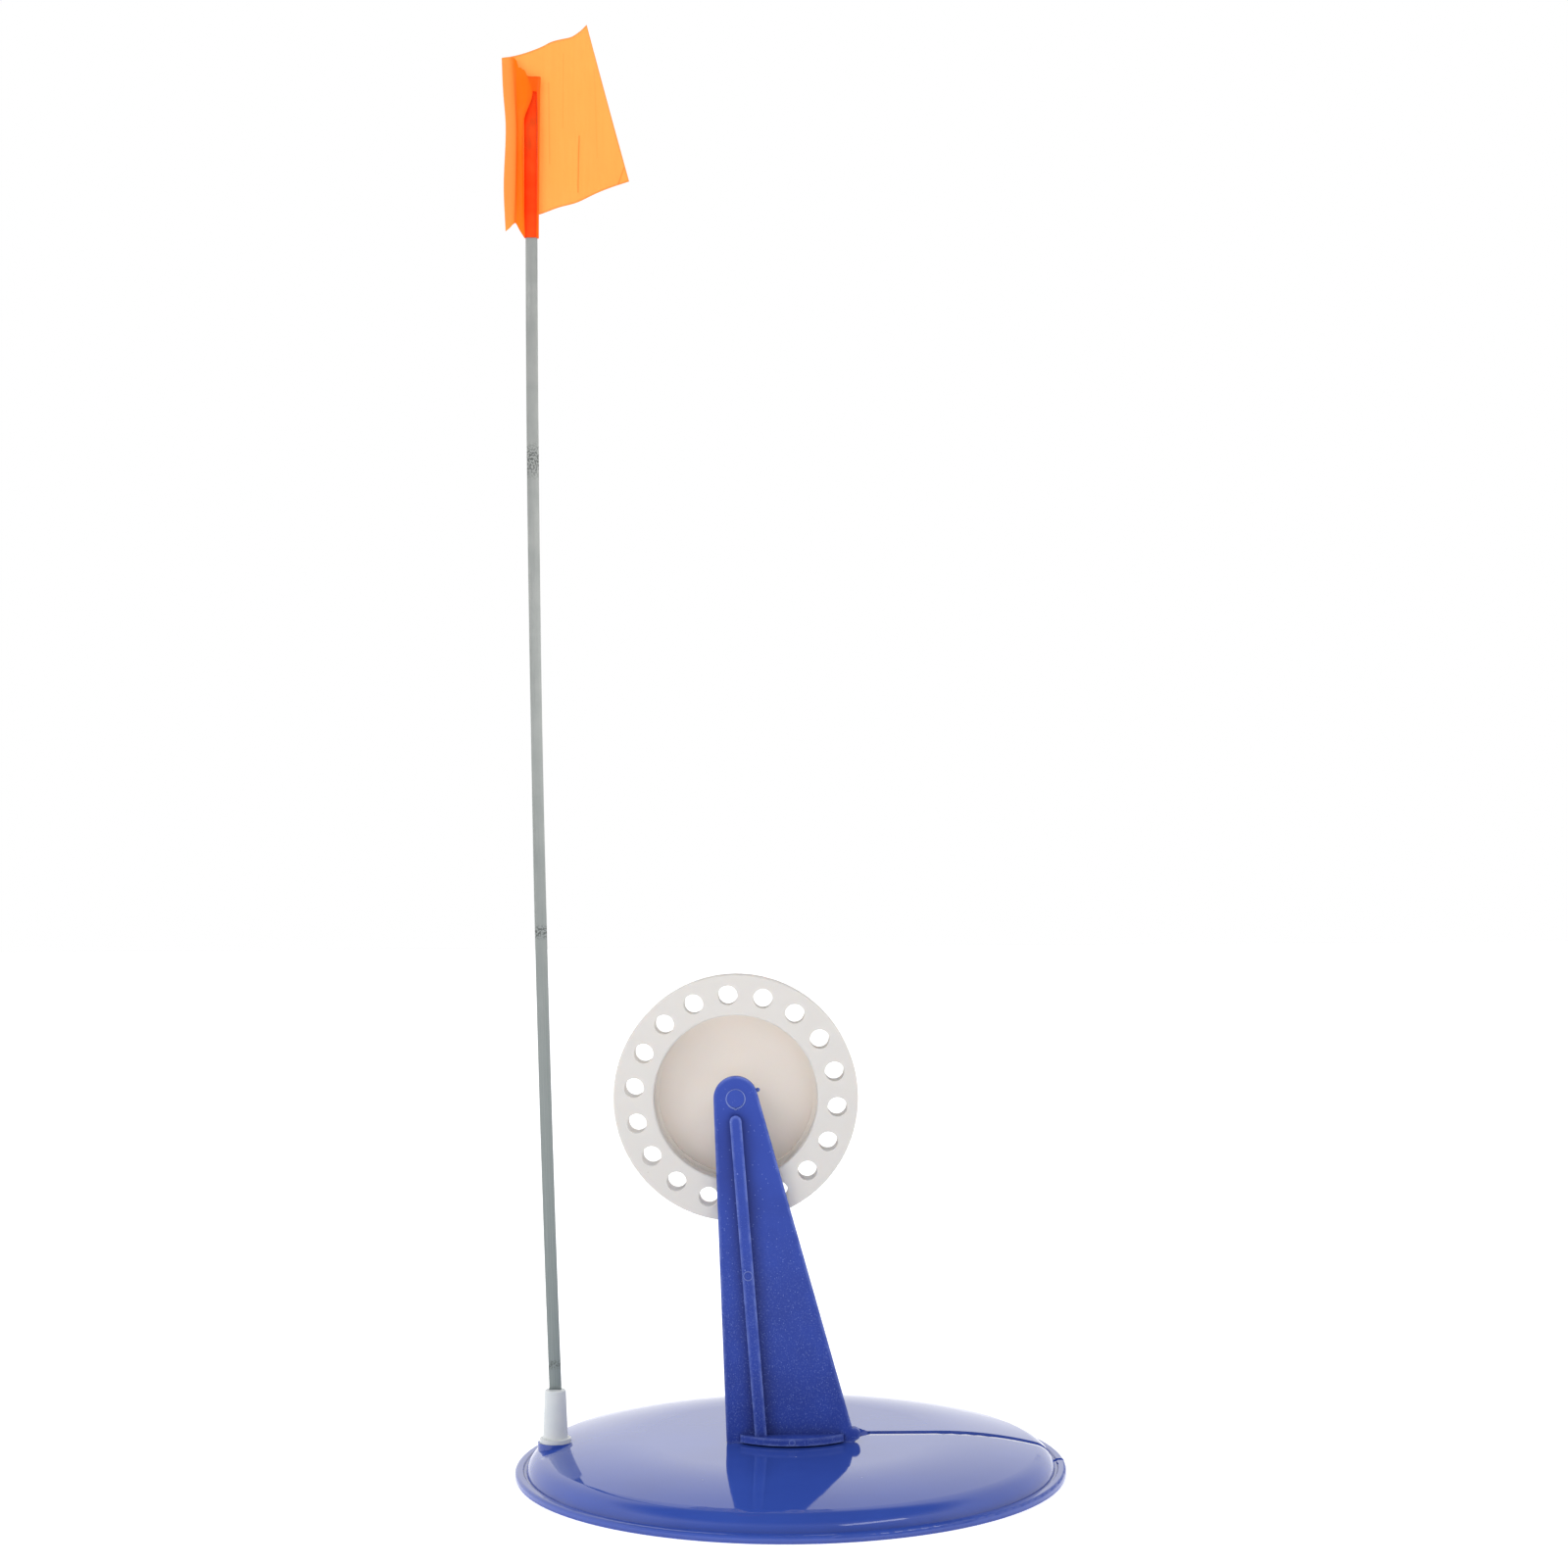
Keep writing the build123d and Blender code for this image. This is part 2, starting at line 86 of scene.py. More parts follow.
# ---------------------------------------------------------------- nodes
class Tree:
    """Small helper that adds nodes to a node tree and links them."""

    def __init__(self, tree: bpy.types.NodeTree) -> None:
        """Keep the tree that nodes are added to."""
        self.tree = tree

    def node(self, kind: str, **settings: object) -> bpy.types.Node:
        """Add a node.

        Args:
            kind: Blender's name of the node type.
            settings: properties of the node, set by name.

        Returns:
            The new node.
        """
        new = self.tree.nodes.new(kind)
        for name, value in settings.items():
            setattr(new, name, value)
        return new

    def put(self, socket: Wire, value: object) -> None:
        """Link a socket to another socket, or give it a plain value.

        Args:
            socket: the input to fill.
            value: an output socket, a number, or a colour or vector.
        """
        if isinstance(value, bpy.types.NodeSocket):
            self.tree.links.new(value, socket)
        elif isinstance(value, tuple) and len(value) == 3 and socket.type == "RGBA":
            socket.default_value = (*value, 1.0)
        else:
            socket.default_value = value

    def feed(self, target: bpy.types.Node, values: Mapping[str, object]) -> None:
        """Fill several named inputs of a node, each with a socket or a plain value."""
        for name, value in values.items():
            self.put(target.inputs[name], value)

    def split(self, vector: object) -> list[Wire]:
        """Return the x, y and z of a vector."""
        new = self.node("ShaderNodeSeparateXYZ")
        self.put(new.inputs[0], vector)
        return list(new.outputs)

    def math(self, operation: str, a: object, b: object = 0.0) -> Wire:
        """Add a Math node.

        Args:
            operation: Blender's name of the operation.
            a: first socket or number.
            b: second socket or number.

        Returns:
            The node's output.
        """
        new = self.node("ShaderNodeMath", operation=operation)
        self.put(new.inputs[0], a)
        self.put(new.inputs[1], b)
        return new.outputs[0]

    def times(self, a: object, b: object) -> Wire:
        """Return a multiplied by b."""
        return self.math("MULTIPLY", a, b)

    def line(self, value: object, slope: float, start: float) -> Wire:
        """Return value multiplied by slope, plus start."""
        found = self.math("MULTIPLY_ADD", value, slope)
        found.node.inputs[2].default_value = start
        return found

    def apart(self, a: object, b: object) -> Wire:
        """Return how far a is from b."""
        return self.math("ABSOLUTE", self.math("SUBTRACT", a, b))

    def reach(self, a: object, b: object) -> Wire:
        """Return the length of the flat vector (a, b)."""
        return self.math("SQRT", self.math("ADD", self.times(a, a), self.times(b, b)))

    def remap(
        self, value: object, low: float, high: float, to_low: float = 0.0, to_high: float = 1.0
    ) -> Wire:
        """Add a smooth Map Range node.

        Args:
            value: the value to map.
            low: value that maps to to_low.
            high: value that maps to to_high.
            to_low: result at low.
            to_high: result at high.

        Returns:
            The mapped value.
        """
        new = self.node("ShaderNodeMapRange", interpolation_type="SMOOTHSTEP")
        for socket, number in zip(new.inputs[1:5], (low, high, to_low, to_high)):
            socket.default_value = number
        self.put(new.inputs[0], value)
        return new.outputs[0]

    def mix(self, share: object, a: object, b: object) -> Wire:
        """Mix two colours.

        Args:
            share: how much of b shows, from 0 to 1.
            a: colour or socket.
            b: colour or socket.

        Returns:
            The mixed colour.
        """
        new = self.node("ShaderNodeMix", data_type="RGBA")
        self.put(new.inputs[0], share)
        self.put(new.inputs[6], a)
        self.put(new.inputs[7], b)
        return new.outputs[2]

    def tint(self, tone: object, mask: object, share: float, colour: Colour) -> Wire:
        """Return a tone with a share of another colour over it, where the mask is 1."""
        return self.mix(self.times(mask, share), tone, colour)

    def noise(self, vector: object, scale: object, detail: float = 2.0, rough: float = 0.5) -> Wire:
        """Add a Noise Texture.

        Args:
            vector: coordinates.
            scale: waves per metre.
            detail: number of octaves.
            rough: strength of the small octaves.

        Returns:
            The noise value.
        """
        new = self.node("ShaderNodeTexNoise")
        self.feed(new, {"Vector": vector, "Scale": scale, "Detail": detail, "Roughness": rough})
        return new.outputs[0]

    def bump(self, height: object, distance: float, strength: float = 1.0, under: object = None) -> Wire:
        """Add a Bump node.

        Args:
            height: the height, from 0 to 1.
            distance: height of 1, in metres.
            strength: share of the effect.
            under: normal of a coarser bump below this one.

        Returns:
            The bumped normal.
        """
        new = self.node("ShaderNodeBump")
        self.feed(new, {"Height": height, "Distance": distance, "Strength": strength})
        if under is not None:
            self.put(new.inputs["Normal"], under)
        return new.outputs[0]


class Effect(Enum):
    """Effects that several finishes share, each one a node group."""

    MOTTLE = "soft_mottle"
    SPECKS = "sparse_specks"
    GRAIN = "moulded_grain"
    STREAKS = "long_streaks"
    # Painted highlight along the outer edges.
    EDGE = "painted_edge_highlight"
    # Painted shade in corners and hollows.
    HOLLOW = "painted_corner_shade"


class EffectLibrary:
    """Builds each shared effect once and hands out nodes that use it."""

    def __init__(self) -> None:
        """Start with no group built."""
        self.built: dict[Effect, bpy.types.NodeTree] = {}

    def place(self, tree: Tree, effect: Effect, vector: object, **values: object) -> Wire:
        """Place a shared effect in a material.

        Args:
            tree: the material's nodes.
            effect: which effect.
            vector: coordinates it follows.
            values: values for its named inputs.

        Returns:
            The effect's value, from 0 to 1.
        """
        if effect not in self.built:
            self.built[effect] = self.build(effect)
        new = tree.node("ShaderNodeGroup", node_tree=self.built[effect])
        tree.feed(new, {"Vector": vector, **values})
        return new.outputs["Value"]

    def build(self, effect: Effect) -> bpy.types.NodeTree:
        """Build the node group of one effect.

        Args:
            effect: which effect.

        Returns:
            The node group.
        """
        group = bpy.data.node_groups.new(effect.value, "ShaderNodeTree")
        for name, way, kind in (
            ("Vector", "INPUT", "Vector"), ("Scale", "INPUT", "Float"),
            ("Cover", "INPUT", "Float"), ("Value", "OUTPUT", "Float"),
        ):
            group.interface.new_socket(name=name, in_out=way, socket_type=f"NodeSocket{kind}")
        tree = Tree(group)
        given = tree.node("NodeGroupInput").outputs
        makers = {
            Effect.MOTTLE: self.mottle,
            Effect.SPECKS: self.specks,
            Effect.GRAIN: self.grain,
            Effect.STREAKS: self.streaks,
            Effect.EDGE: self.edge,
            Effect.HOLLOW: self.corner_shade,
        }
        value = makers[effect](tree, given["Vector"], given["Scale"], given["Cover"])
        tree.put(tree.node("NodeGroupOutput").inputs[0], value)
        return group

    @staticmethod
    def mottle(tree: Tree, vector: object, scale: object, cover: object) -> Wire:
        """Return soft patches; cover moves their balance."""
        patches = tree.noise(vector, scale, 3.0, 0.55)
        return tree.math("ADD", tree.remap(patches, 0.32, 0.68), cover)

    @staticmethod
    def specks(tree: Tree, vector: object, scale: object, cover: object) -> Wire:
        """Return small round specks in random cells; cover is the share of cells with one."""
        cells = tree.node("ShaderNodeTexVoronoi")
        tree.feed(cells, {"Vector": vector, "Scale": scale})
        split = tree.node("ShaderNodeSeparateColor")
        tree.put(split.inputs[0], cells.outputs["Color"])
        chosen = tree.math("LESS_THAN", split.outputs[0], cover)
        size = tree.times(split.outputs[1], 0.42)
        near = tree.math("SUBTRACT", size, cells.outputs["Distance"])
        return tree.times(tree.remap(near, 0.0, 0.08), chosen)

    @staticmethod
    def grain(tree: Tree, vector: object, scale: object, cover: object) -> Wire:
        """Return the fine grain of a moulded face; cover adds to its height."""
        fine = tree.noise(vector, scale, 4.0, 0.65)
        return tree.math("ADD", fine, cover)

    @staticmethod
    def streaks(tree: Tree, vector: object, scale: object, cover: object) -> Wire:
        """Return streaks along the second axis of the coordinates; cover moves their balance."""
        stretch = tree.node("ShaderNodeMapping")
        tree.feed(stretch, {"Vector": vector, "Scale": (1.0, 0.012, 1.0)})
        lines = tree.noise(stretch.outputs[0], scale, 3.0, 0.6)
        return tree.math("ADD", tree.remap(lines, 0.35, 0.65), cover)

    @staticmethod
    def edge(tree: Tree, vector: object, scale: object, cover: object) -> Wire:
        """Return a mask for a painted highlight along the outer edges, 1/scale metres wide, broken up by a
        little noise.
        """
        near = tree.node("ShaderNodeAmbientOcclusion", samples=6, inside=True, only_local=True)
        tree.put(near.inputs["Distance"], tree.math("DIVIDE", 1.0, scale))
        # Painted highlight: the lit edge line, broken up by noise.
        broken_highlight = tree.math("ADD", tree.remap(tree.noise(vector, 260.0, 3.0), 0.35, 0.62), cover)
        line = tree.remap(near.outputs["AO"], 0.90, 0.66)
        return tree.times(line, broken_highlight)

    @staticmethod
    def corner_shade(tree: Tree, vector: object, scale: object, cover: object) -> Wire:
        """Return a mask of painted shade in corners and hollows, 1/scale metres deep; cover adds to it."""
        near = tree.node("ShaderNodeAmbientOcclusion", samples=6, only_local=True)
        tree.put(near.inputs["Distance"], tree.math("DIVIDE", 1.0, scale))
        patchy = tree.times(tree.noise(vector, 90.0, 2.0), 0.2)
        dark = tree.remap(near.outputs["AO"], 0.98, 0.45)
        return tree.times(tree.math("ADD", dark, cover), tree.math("SUBTRACT", 1.1, patchy))


EFFECTS = EffectLibrary()


# ---------------------------------------------------------------- finishes
class Finish:
    """A material built from nodes."""

    name: str = "finish"

    def make(self) -> bpy.types.Material:
        """Build the material.

        Returns:
            The material, with one Principled shader.
        """
        material = bpy.data.materials.new(self.name)
        material.use_nodes = True
        nodes = Tree(material.node_tree)
        shader = material.node_tree.nodes["Principled BSDF"]
        self.fill(nodes, shader)
        return material

    def fill(self, nodes: Tree, shader: bpy.types.Node) -> None:
        """Set the shader; each finish has its own way."""
        raise NotImplementedError

    @staticmethod
    def place(nodes: Tree) -> Wire:
        """Return Object coordinates."""
        return nodes.node("ShaderNodeTexCoord").outputs["Object"]


@dataclass(frozen=True)
class GlossBlue(Finish):
    """Glossy moulded plastic of the base, with a few dust specks and rounded lips along its slot.

    Attributes:
        lip_from: where the slot's rounded lips begin, from the base's middle.
        lip_to: where they end.
        lip_in: distance of the lip's inner side from the slot's middle.
        lip_out: the same for its outer side.
        lip_drop: how far the lips look rounded down.
    """

    name: str = "gloss_blue"
    colour: Colour = (0.033, 0.077, 0.385)
    deep: Colour = (0.029, 0.068, 0.350)
    dust: Colour = (0.22, 0.26, 0.50)
    rough: float = 0.045
    lip_from: float = 22.0 * MM
    lip_to: float = 86.0 * MM
    lip_in: float = 1.25 * MM
    lip_out: float = 3.0 * MM
    lip_drop: float = 1.3 * MM

    def fill(self, nodes: Tree, shader: bpy.types.Node) -> None:
        """Set the gloss, the faint unevenness of the moulding, the dust and the lips."""
        where = self.place(nodes)
        patches = EFFECTS.place(nodes, Effect.MOTTLE, where, Scale=26.0)
        specks = EFFECTS.place(nodes, Effect.SPECKS, where, Scale=700.0, Cover=0.003)
        wipe = EFFECTS.place(nodes, Effect.GRAIN, where, Scale=700.0)
        tone = nodes.mix(patches, self.colour, self.deep)
        rough = nodes.math("ADD", nodes.line(patches, 0.02, self.rough), nodes.times(specks, 0.4))
        x, y, _ = nodes.split(where)
        fall = nodes.remap(nodes.math("ABSOLUTE", y), self.lip_out, self.lip_in)
        past = nodes.math("GREATER_THAN", x, self.lip_from)
        along = nodes.times(past, nodes.math("LESS_THAN", x, self.lip_to))
        lip = nodes.math("SUBTRACT", 1.0, nodes.times(fall, along))
        wave = nodes.bump(nodes.noise(where, 34.0, 1.0), 0.00008, 0.5)
        rounded = nodes.bump(lip, self.lip_drop, 1.0, wave)
        nodes.feed(shader, {
            "Base Color": nodes.mix(specks, tone, self.dust),
            "Roughness": rough,
            "Normal": nodes.bump(wipe, 0.000003, 0.5, rounded),
            "IOR": 1.54,
        })


@dataclass(frozen=True)
class SpeckledBlue(Finish):
    """Satin moulded plastic of the stand, with a fine light speckle that is thicker near its foot.

    Attributes:
        foot: height at which the speckle is thickest.
        top: height above which it is thin.
        cover: share of cells with a speck, at foot and at top.
        edge: 1 divided by the width of the pale line of painted highlight along its edges.
        ring_solid: half the width at which the outline of an ejector mark is full.
        ring_faded: half the width at which it is gone.
        marks: middle (across, up) and radius of each round ejector mark.
    """

    name: str = "speckled_blue"
    colour: Colour = (0.021, 0.049, 0.300)
    worn: Colour = (0.028, 0.063, 0.360)
    # Tone of the painted shade in corners and hollows.
    dark: Colour = (0.016, 0.026, 0.150)
    # Pale tone of the painted highlight along the edges; the ejector marks' outlines use it too.
    light: Colour = (0.16, 0.22, 0.55)
    speck: Colour = (0.13, 0.19, 0.52)
    rough: float = 0.42
    foot: float = 0.035
    top: float = 0.110
    cover: tuple[float, float] = (0.95, 0.25)
    edge: float = 800.0
    ring_solid: float = 0.08 * MM
    ring_faded: float = 0.25 * MM
    marks: tuple[Place, ...] = ()

    def fill(self, nodes: Tree, shader: bpy.types.Node) -> None:
        """Set the speckle, the faint clouds, the painted highlight along the edges, the painted shade in the
        corners and the fine grain.
        """
        where = self.place(nodes)
        x, _, z = nodes.split(where)
        low = nodes.remap(z, self.foot, self.top, *self.cover)
        small = EFFECTS.place(nodes, Effect.SPECKS, where, Scale=1600.0, Cover=low)
        large = EFFECTS.place(nodes, Effect.SPECKS, where, Scale=900.0, Cover=0.03)
        clouds = EFFECTS.place(nodes, Effect.MOTTLE, where, Scale=48.0)
        grain = EFFECTS.place(nodes, Effect.GRAIN, where, Scale=1900.0)
        edge = EFFECTS.place(nodes, Effect.EDGE, where, Scale=self.edge, Cover=0.45)
        corner_shade = EFFECTS.place(nodes, Effect.HOLLOW, where, Scale=200.0)
        specks = nodes.math("MAXIMUM", nodes.times(small, 0.80), large)
        dense = nodes.times(nodes.remap(grain, 0.50, 0.72), nodes.remap(low, 0.30, 0.95, 0.03, 0.50))
        specks = nodes.math("MAXIMUM", specks, dense)
        tone = nodes.mix(clouds, self.colour, self.worn)
        # Painted shade in the corners and hollows, found by ambient occlusion.
        tone = nodes.tint(tone, corner_shade, 0.65, self.dark)
        tone = nodes.tint(tone, specks, 0.8, self.speck)
        # Painted highlight: a pale line along the outer edges.
        tone = nodes.tint(tone, edge, 0.45, self.light)
        for across, up, radius in self.marks:
            tone = nodes.tint(tone, self.ring(nodes, (x, z), (across, up), radius), 0.6, self.light)
        coarse = nodes.bump(grain, 0.00003, 0.35)
        nodes.feed(shader, {
            "Base Color": tone,
            "Roughness": nodes.line(clouds, 0.10, self.rough),
            "Normal": nodes.bump(specks, 0.00004, 0.5, coarse),
            "IOR": 1.5,
            "Specular IOR Level": 0.28,
        })

    def ring(self, nodes: Tree, at: tuple[Wire, Wire], middle: tuple[float, float], radius: float) -> Wire:
        """Return the thin outline of an ejector mark.

        Args:
            nodes: the material's nodes.
            at: place across and up.
            middle: the mark's middle, across and up.
            radius: its radius.

        Returns:
            The outline's mask.
        """
        x, z = (nodes.math("SUBTRACT", value, mid) for value, mid in zip(at, middle))
        away = nodes.apart(nodes.reach(x, z), radius - self.ring_solid)
        return nodes.remap(away, self.ring_faded, self.ring_solid)


@dataclass(frozen=True)
class MilkPlastic(Finish):
    """Natural off-white plastic of the reel, warmer inside the recess than on the flange.

    Attributes:
        shade: painted shade towards the recess's corner.
        cloud: tone of the faint patches.
        grit: tone of the few specks.
        axle: the reel's axle.
        recess_radius: radius of the recess.
        recess_soft: half the width over which the warm tone begins.
        corner: width of the shaded ring in the recess.
        face_y: front face of the flange.
        depth: places behind that face where the warm tone begins and is full.
    """

    name: str = "milk_plastic"
    flange: Colour = (0.625, 0.605, 0.580)
    recess: Colour = (0.815, 0.758, 0.695)
    shade: Colour = (0.640, 0.560, 0.470)
    cloud: Colour = (0.86, 0.80, 0.72)
    grit: Colour = (0.35, 0.30, 0.25)
    axle: Place = (0.0, 0.0, 0.0)
    recess_radius: float = 26.8 * MM
    recess_soft: float = 0.4 * MM
    corner: float = 7.0 * MM
    face_y: float = -9.5 * MM
    depth: tuple[float, float] = (1.2 * MM, 9.0 * MM)
    rough: float = 0.36

    def fill(self, nodes: Tree, shader: bpy.types.Node) -> None:
        """Set the warm recess, the painted shade in its corner, the milky depth and the soft moulding marks.
        """
        where = self.place(nodes)
        centre = nodes.node("ShaderNodeMapping")
        nodes.feed(centre, {"Vector": where, "Location": tuple(-v for v in self.axle)})
        x, y, z = nodes.split(centre.outputs[0])
        radius = nodes.reach(x, z)
        rim = self.recess_radius
        inside = nodes.remap(radius, rim + self.recess_soft, rim - self.recess_soft)
        warm = nodes.times(inside, nodes.remap(y, *(self.face_y + d for d in self.depth)))
        corner = nodes.times(nodes.remap(radius, rim - self.corner, rim), warm)
        patches = EFFECTS.place(nodes, Effect.MOTTLE, where, Scale=38.0)
        specks = EFFECTS.place(nodes, Effect.SPECKS, where, Scale=500.0, Cover=0.010)
        grain = EFFECTS.place(nodes, Effect.GRAIN, where, Scale=900.0)
        tone = nodes.mix(warm, self.flange, self.recess)
        # Painted shade towards the recess's inner corner.
        tone = nodes.tint(tone, corner, 0.18, self.shade)
        tone = nodes.tint(tone, patches, 0.05, self.cloud)
        nodes.feed(shader, {
            "Base Color": nodes.tint(tone, specks, 0.35, self.grit),
            "Roughness": nodes.line(patches, 0.10, self.rough),
            "Normal": nodes.bump(grain, 0.00002, 0.3),
            "Subsurface Weight": 0.25,
            "Subsurface Radius": (1.0, 0.75, 0.5),
            "Subsurface Scale": 0.0015,
            "IOR": 1.49,
        })


@dataclass(frozen=True)
class PalePlastic(Finish):
    """Pale cool plastic of the flag socket and the spacer."""

    name: str = "pale_plastic"
    colour: Colour = (0.640, 0.655, 0.655)
    cool: Colour = (0.560, 0.600, 0.620)
    rough: float = 0.33

    def fill(self, nodes: Tree, shader: bpy.types.Node) -> None:
        """Set the soft cool patches and the milky depth."""
        where = self.place(nodes)
        patches = EFFECTS.place(nodes, Effect.MOTTLE, where, Scale=110.0)
        grain = EFFECTS.place(nodes, Effect.GRAIN, where, Scale=1200.0)
        nodes.feed(shader, {
            "Base Color": nodes.tint(self.colour, patches, 0.6, self.cool),
            "Roughness": nodes.line(patches, 0.10, self.rough),
            "Normal": nodes.bump(grain, 0.00002, 0.3),
            "Subsurface Weight": 0.2,
            "Subsurface Radius": (1.0, 0.9, 0.8),
            "Subsurface Scale": 0.001,
            "IOR": 1.49,
        })


@dataclass(frozen=True)
class StripSteel(Finish):
    """Rolled spring steel: dull, streaked along its length, darker towards its foot as painted shade, with a
    few smudges.

    Attributes:
        streak: tone of the rolling streaks.
        cloud: tone of the patches.
        smudges: place of each dark mark along the strip, in metres from the socket, and its half length.
        length: length of the strip above the socket.
    """

    name: str = "strip_steel"
    # Painted shade along the strip: from high at its top to low at its foot.
    high: Colour = (0.520, 0.530, 0.505)
    low: Colour = (0.165, 0.200, 0.205)
    streak: Colour = (0.52, 0.54, 0.52)
    cloud: Colour = (0.27, 0.30, 0.29)
    mark: Colour = (0.10, 0.11, 0.105)
    smudges: tuple[tuple[float, float], ...] = ()
    length: float = 0.43
    rough: float = 0.38

    def fill(self, nodes: Tree, shader: bpy.types.Node) -> None:
        """Set the painted shade along the length, the rolling streaks and the smudges."""
        flat = nodes.node("ShaderNodeTexCoord").outputs["UV"]
        along = nodes.split(flat)[1]
        streaks = EFFECTS.place(nodes, Effect.STREAKS, flat, Scale=2600.0)
        patches = EFFECTS.place(nodes, Effect.MOTTLE, flat, Scale=90.0)
        # Painted shade: darker towards the foot.
        tone = nodes.mix(nodes.remap(along, -0.05, self.length * 0.85), self.low, self.high)
        tone = nodes.tint(tone, streaks, 0.22, self.streak)
        tone = nodes.tint(tone, patches, 0.25, self.cloud)
        spots = nodes.remap(nodes.noise(flat, 1500.0, 3.0), 0.46, 0.56)
        for place, half in self.smudges:
            near = nodes.remap(nodes.apart(along, place), half, half * 0.2)
            tone = nodes.tint(tone, nodes.times(near, spots), 0.8, self.mark)
        nodes.feed(shader, {
            "Base Color": tone,
            "Metallic": 0.85,
            "Roughness": nodes.line(streaks, 0.14, self.rough),
            "Normal": nodes.bump(streaks, 0.00001, 0.6),
        })


@dataclass(frozen=True)
class BrightSteel(Finish):
    """Stamped steel of the push-on retainer, on Object coordinates."""

    name: str = "bright_steel"
    colour: Colour = (0.52, 0.53, 0.52)
    dull: Colour = (0.36, 0.37, 0.37)
    rough: float = 0.28

    def fill(self, nodes: Tree, shader: bpy.types.Node) -> None:
        """Set the dull patches and the fine grain."""
        where = self.place(nodes)
        patches = EFFECTS.place(nodes, Effect.MOTTLE, where, Scale=300.0)
        grain = EFFECTS.place(nodes, Effect.GRAIN, where, Scale=2500.0)
        nodes.feed(shader, {
            "Base Color": nodes.mix(patches, self.colour, self.dull),
            "Metallic": 1.0,
            "Roughness": nodes.line(patches, 0.15, self.rough),
            "Normal": nodes.bump(grain, 0.00001, 0.4),
        })


@dataclass(frozen=True)
class SignalFilm(Finish):
    """Thin translucent orange film. The attribute plies says how deep the colour is painted where it lies in
    folds: deeper where light passes through several layers, and darkest as painted shade where it lies tight
    on the strip, which keeps out the light from behind.

    Attributes:
        cloud: tone of the patches.
        streak: tone of the streaks.
        worn: painted shade in the soft creases; the sheet's edges get it too.
        bent: painted shade along the sharp creases.
        creases: sharp creases, each with its place across, lean, lower and upper end, and strength.
        crease_solid: half the width at which a sharp crease is full.
        crease_faded: half the width at which it is gone.
    """

    name: str = "signal_film"
    # Painted colour depth: one layer, several layers that light passes through, and painted shade tight over
    # the strip.
    single: Colour = (1.0, 0.500, 0.130)
    folded: Colour = (1.0, 0.245, 0.004)
    tight: Colour = (1.0, 0.058, 0.002)
    cloud: Colour = (1.0, 0.44, 0.07)
    streak: Colour = (1.0, 0.30, 0.035)
    worn: Colour = (0.58, 0.07, 0.01)
    bent: Colour = (0.80, 0.24, 0.035)
    # Painted glow: the film gives off light of its own tone, standing in for the light that comes through it
    # from behind.
    glow: float = 0.14
    creases: tuple[Crease, ...] = ()
    crease_solid: float = 0.10 * MM
    crease_faded: float = 0.35 * MM

    def fill(self, nodes: Tree, shader: bpy.types.Node) -> None:
        """Set the film's colour, painted deeper in the folds and as shade over the strip, give it a painted
        glow, let light through it, and paint shade along its creases.
        """
        where = self.place(nodes)
        turned = nodes.node("ShaderNodeMapping")
        nodes.feed(turned, {"Vector": where, "Rotation": (math.pi / 2, 0.0, 0.0)})
        flat = turned.outputs[0]
        painted_ply_depth = nodes.node("ShaderNodeAttribute", attribute_name="painted_ply_depth").outputs["Fac"]
        crease = nodes.node("ShaderNodeAttribute", attribute_name="crease").outputs["Fac"]
        patches = EFFECTS.place(nodes, Effect.MOTTLE, flat, Scale=60.0)
        streaks = EFFECTS.place(nodes, Effect.STREAKS, flat, Scale=500.0)
        # Painted colour depth in the folds, and painted shade where the film lies tight on the strip.
        tone = nodes.mix(nodes.remap(painted_ply_depth, 0.0, 0.6), self.single, self.folded)
        tone = nodes.mix(nodes.remap(painted_ply_depth, 0.6, 1.0), tone, self.tight)
        tone = nodes.tint(tone, patches, 0.12, self.cloud)
        tone = nodes.tint(tone, streaks, 0.08, self.streak)
        # Painted shade in the soft creases and along the sheet's edges, then along the sharp creases.
        tone = nodes.tint(tone, crease, 0.5, self.worn)
        tone = nodes.tint(tone, self.sharp(nodes, where), 0.5, self.bent)
        wrinkle = nodes.bump(patches, 0.0002, 0.5)
        normal = nodes.bump(streaks, 0.00003, 0.4, wrinkle)
        nodes.feed(shader, {
            "Base Color": tone,
            # Painted glow of the film.
            "Emission Color": tone,
            "Emission Strength": self.glow,
            "Roughness": nodes.remap(patches, 0.0, 1.0, 0.30, 0.42),
            "Specular IOR Level": 0.2,
            "Normal": normal,
        })
        through = nodes.node("ShaderNodeBsdfTranslucent")
        nodes.feed(through, {"Color": tone, "Normal": normal})
        both = nodes.node("ShaderNodeMixShader")
        for socket, value in zip(both.inputs, (0.5, shader.outputs[0], through.outputs[0])):
            nodes.put(socket, value)
        out = next(n for n in nodes.tree.nodes if n.type == "OUTPUT_MATERIAL")
        nodes.put(out.inputs["Surface"], both.outputs[0])

    def sharp(self, nodes: Tree, where: Wire) -> object:
        """Return the mask of the painted shade along the sharp creases.

        Args:
            nodes: the material's nodes.
            where: the coordinates.

        Returns:
            The mask, which is 0 away from every crease.
        """
        x, _, z = nodes.split(where)
        found: object = 0.0
        for across, lean, low, high, strength in self.creases:
            line = nodes.line(nodes.math("SUBTRACT", z, low), lean, across)
            near = nodes.remap(nodes.apart(x, line), self.crease_faded, self.crease_solid, 0.0, strength)
            inside = nodes.math("COMPARE", z, (low + high) / 2)
            inside.node.inputs[2].default_value = (high - low) / 2
            found = nodes.math("MAXIMUM", nodes.times(near, inside), found)
        return found


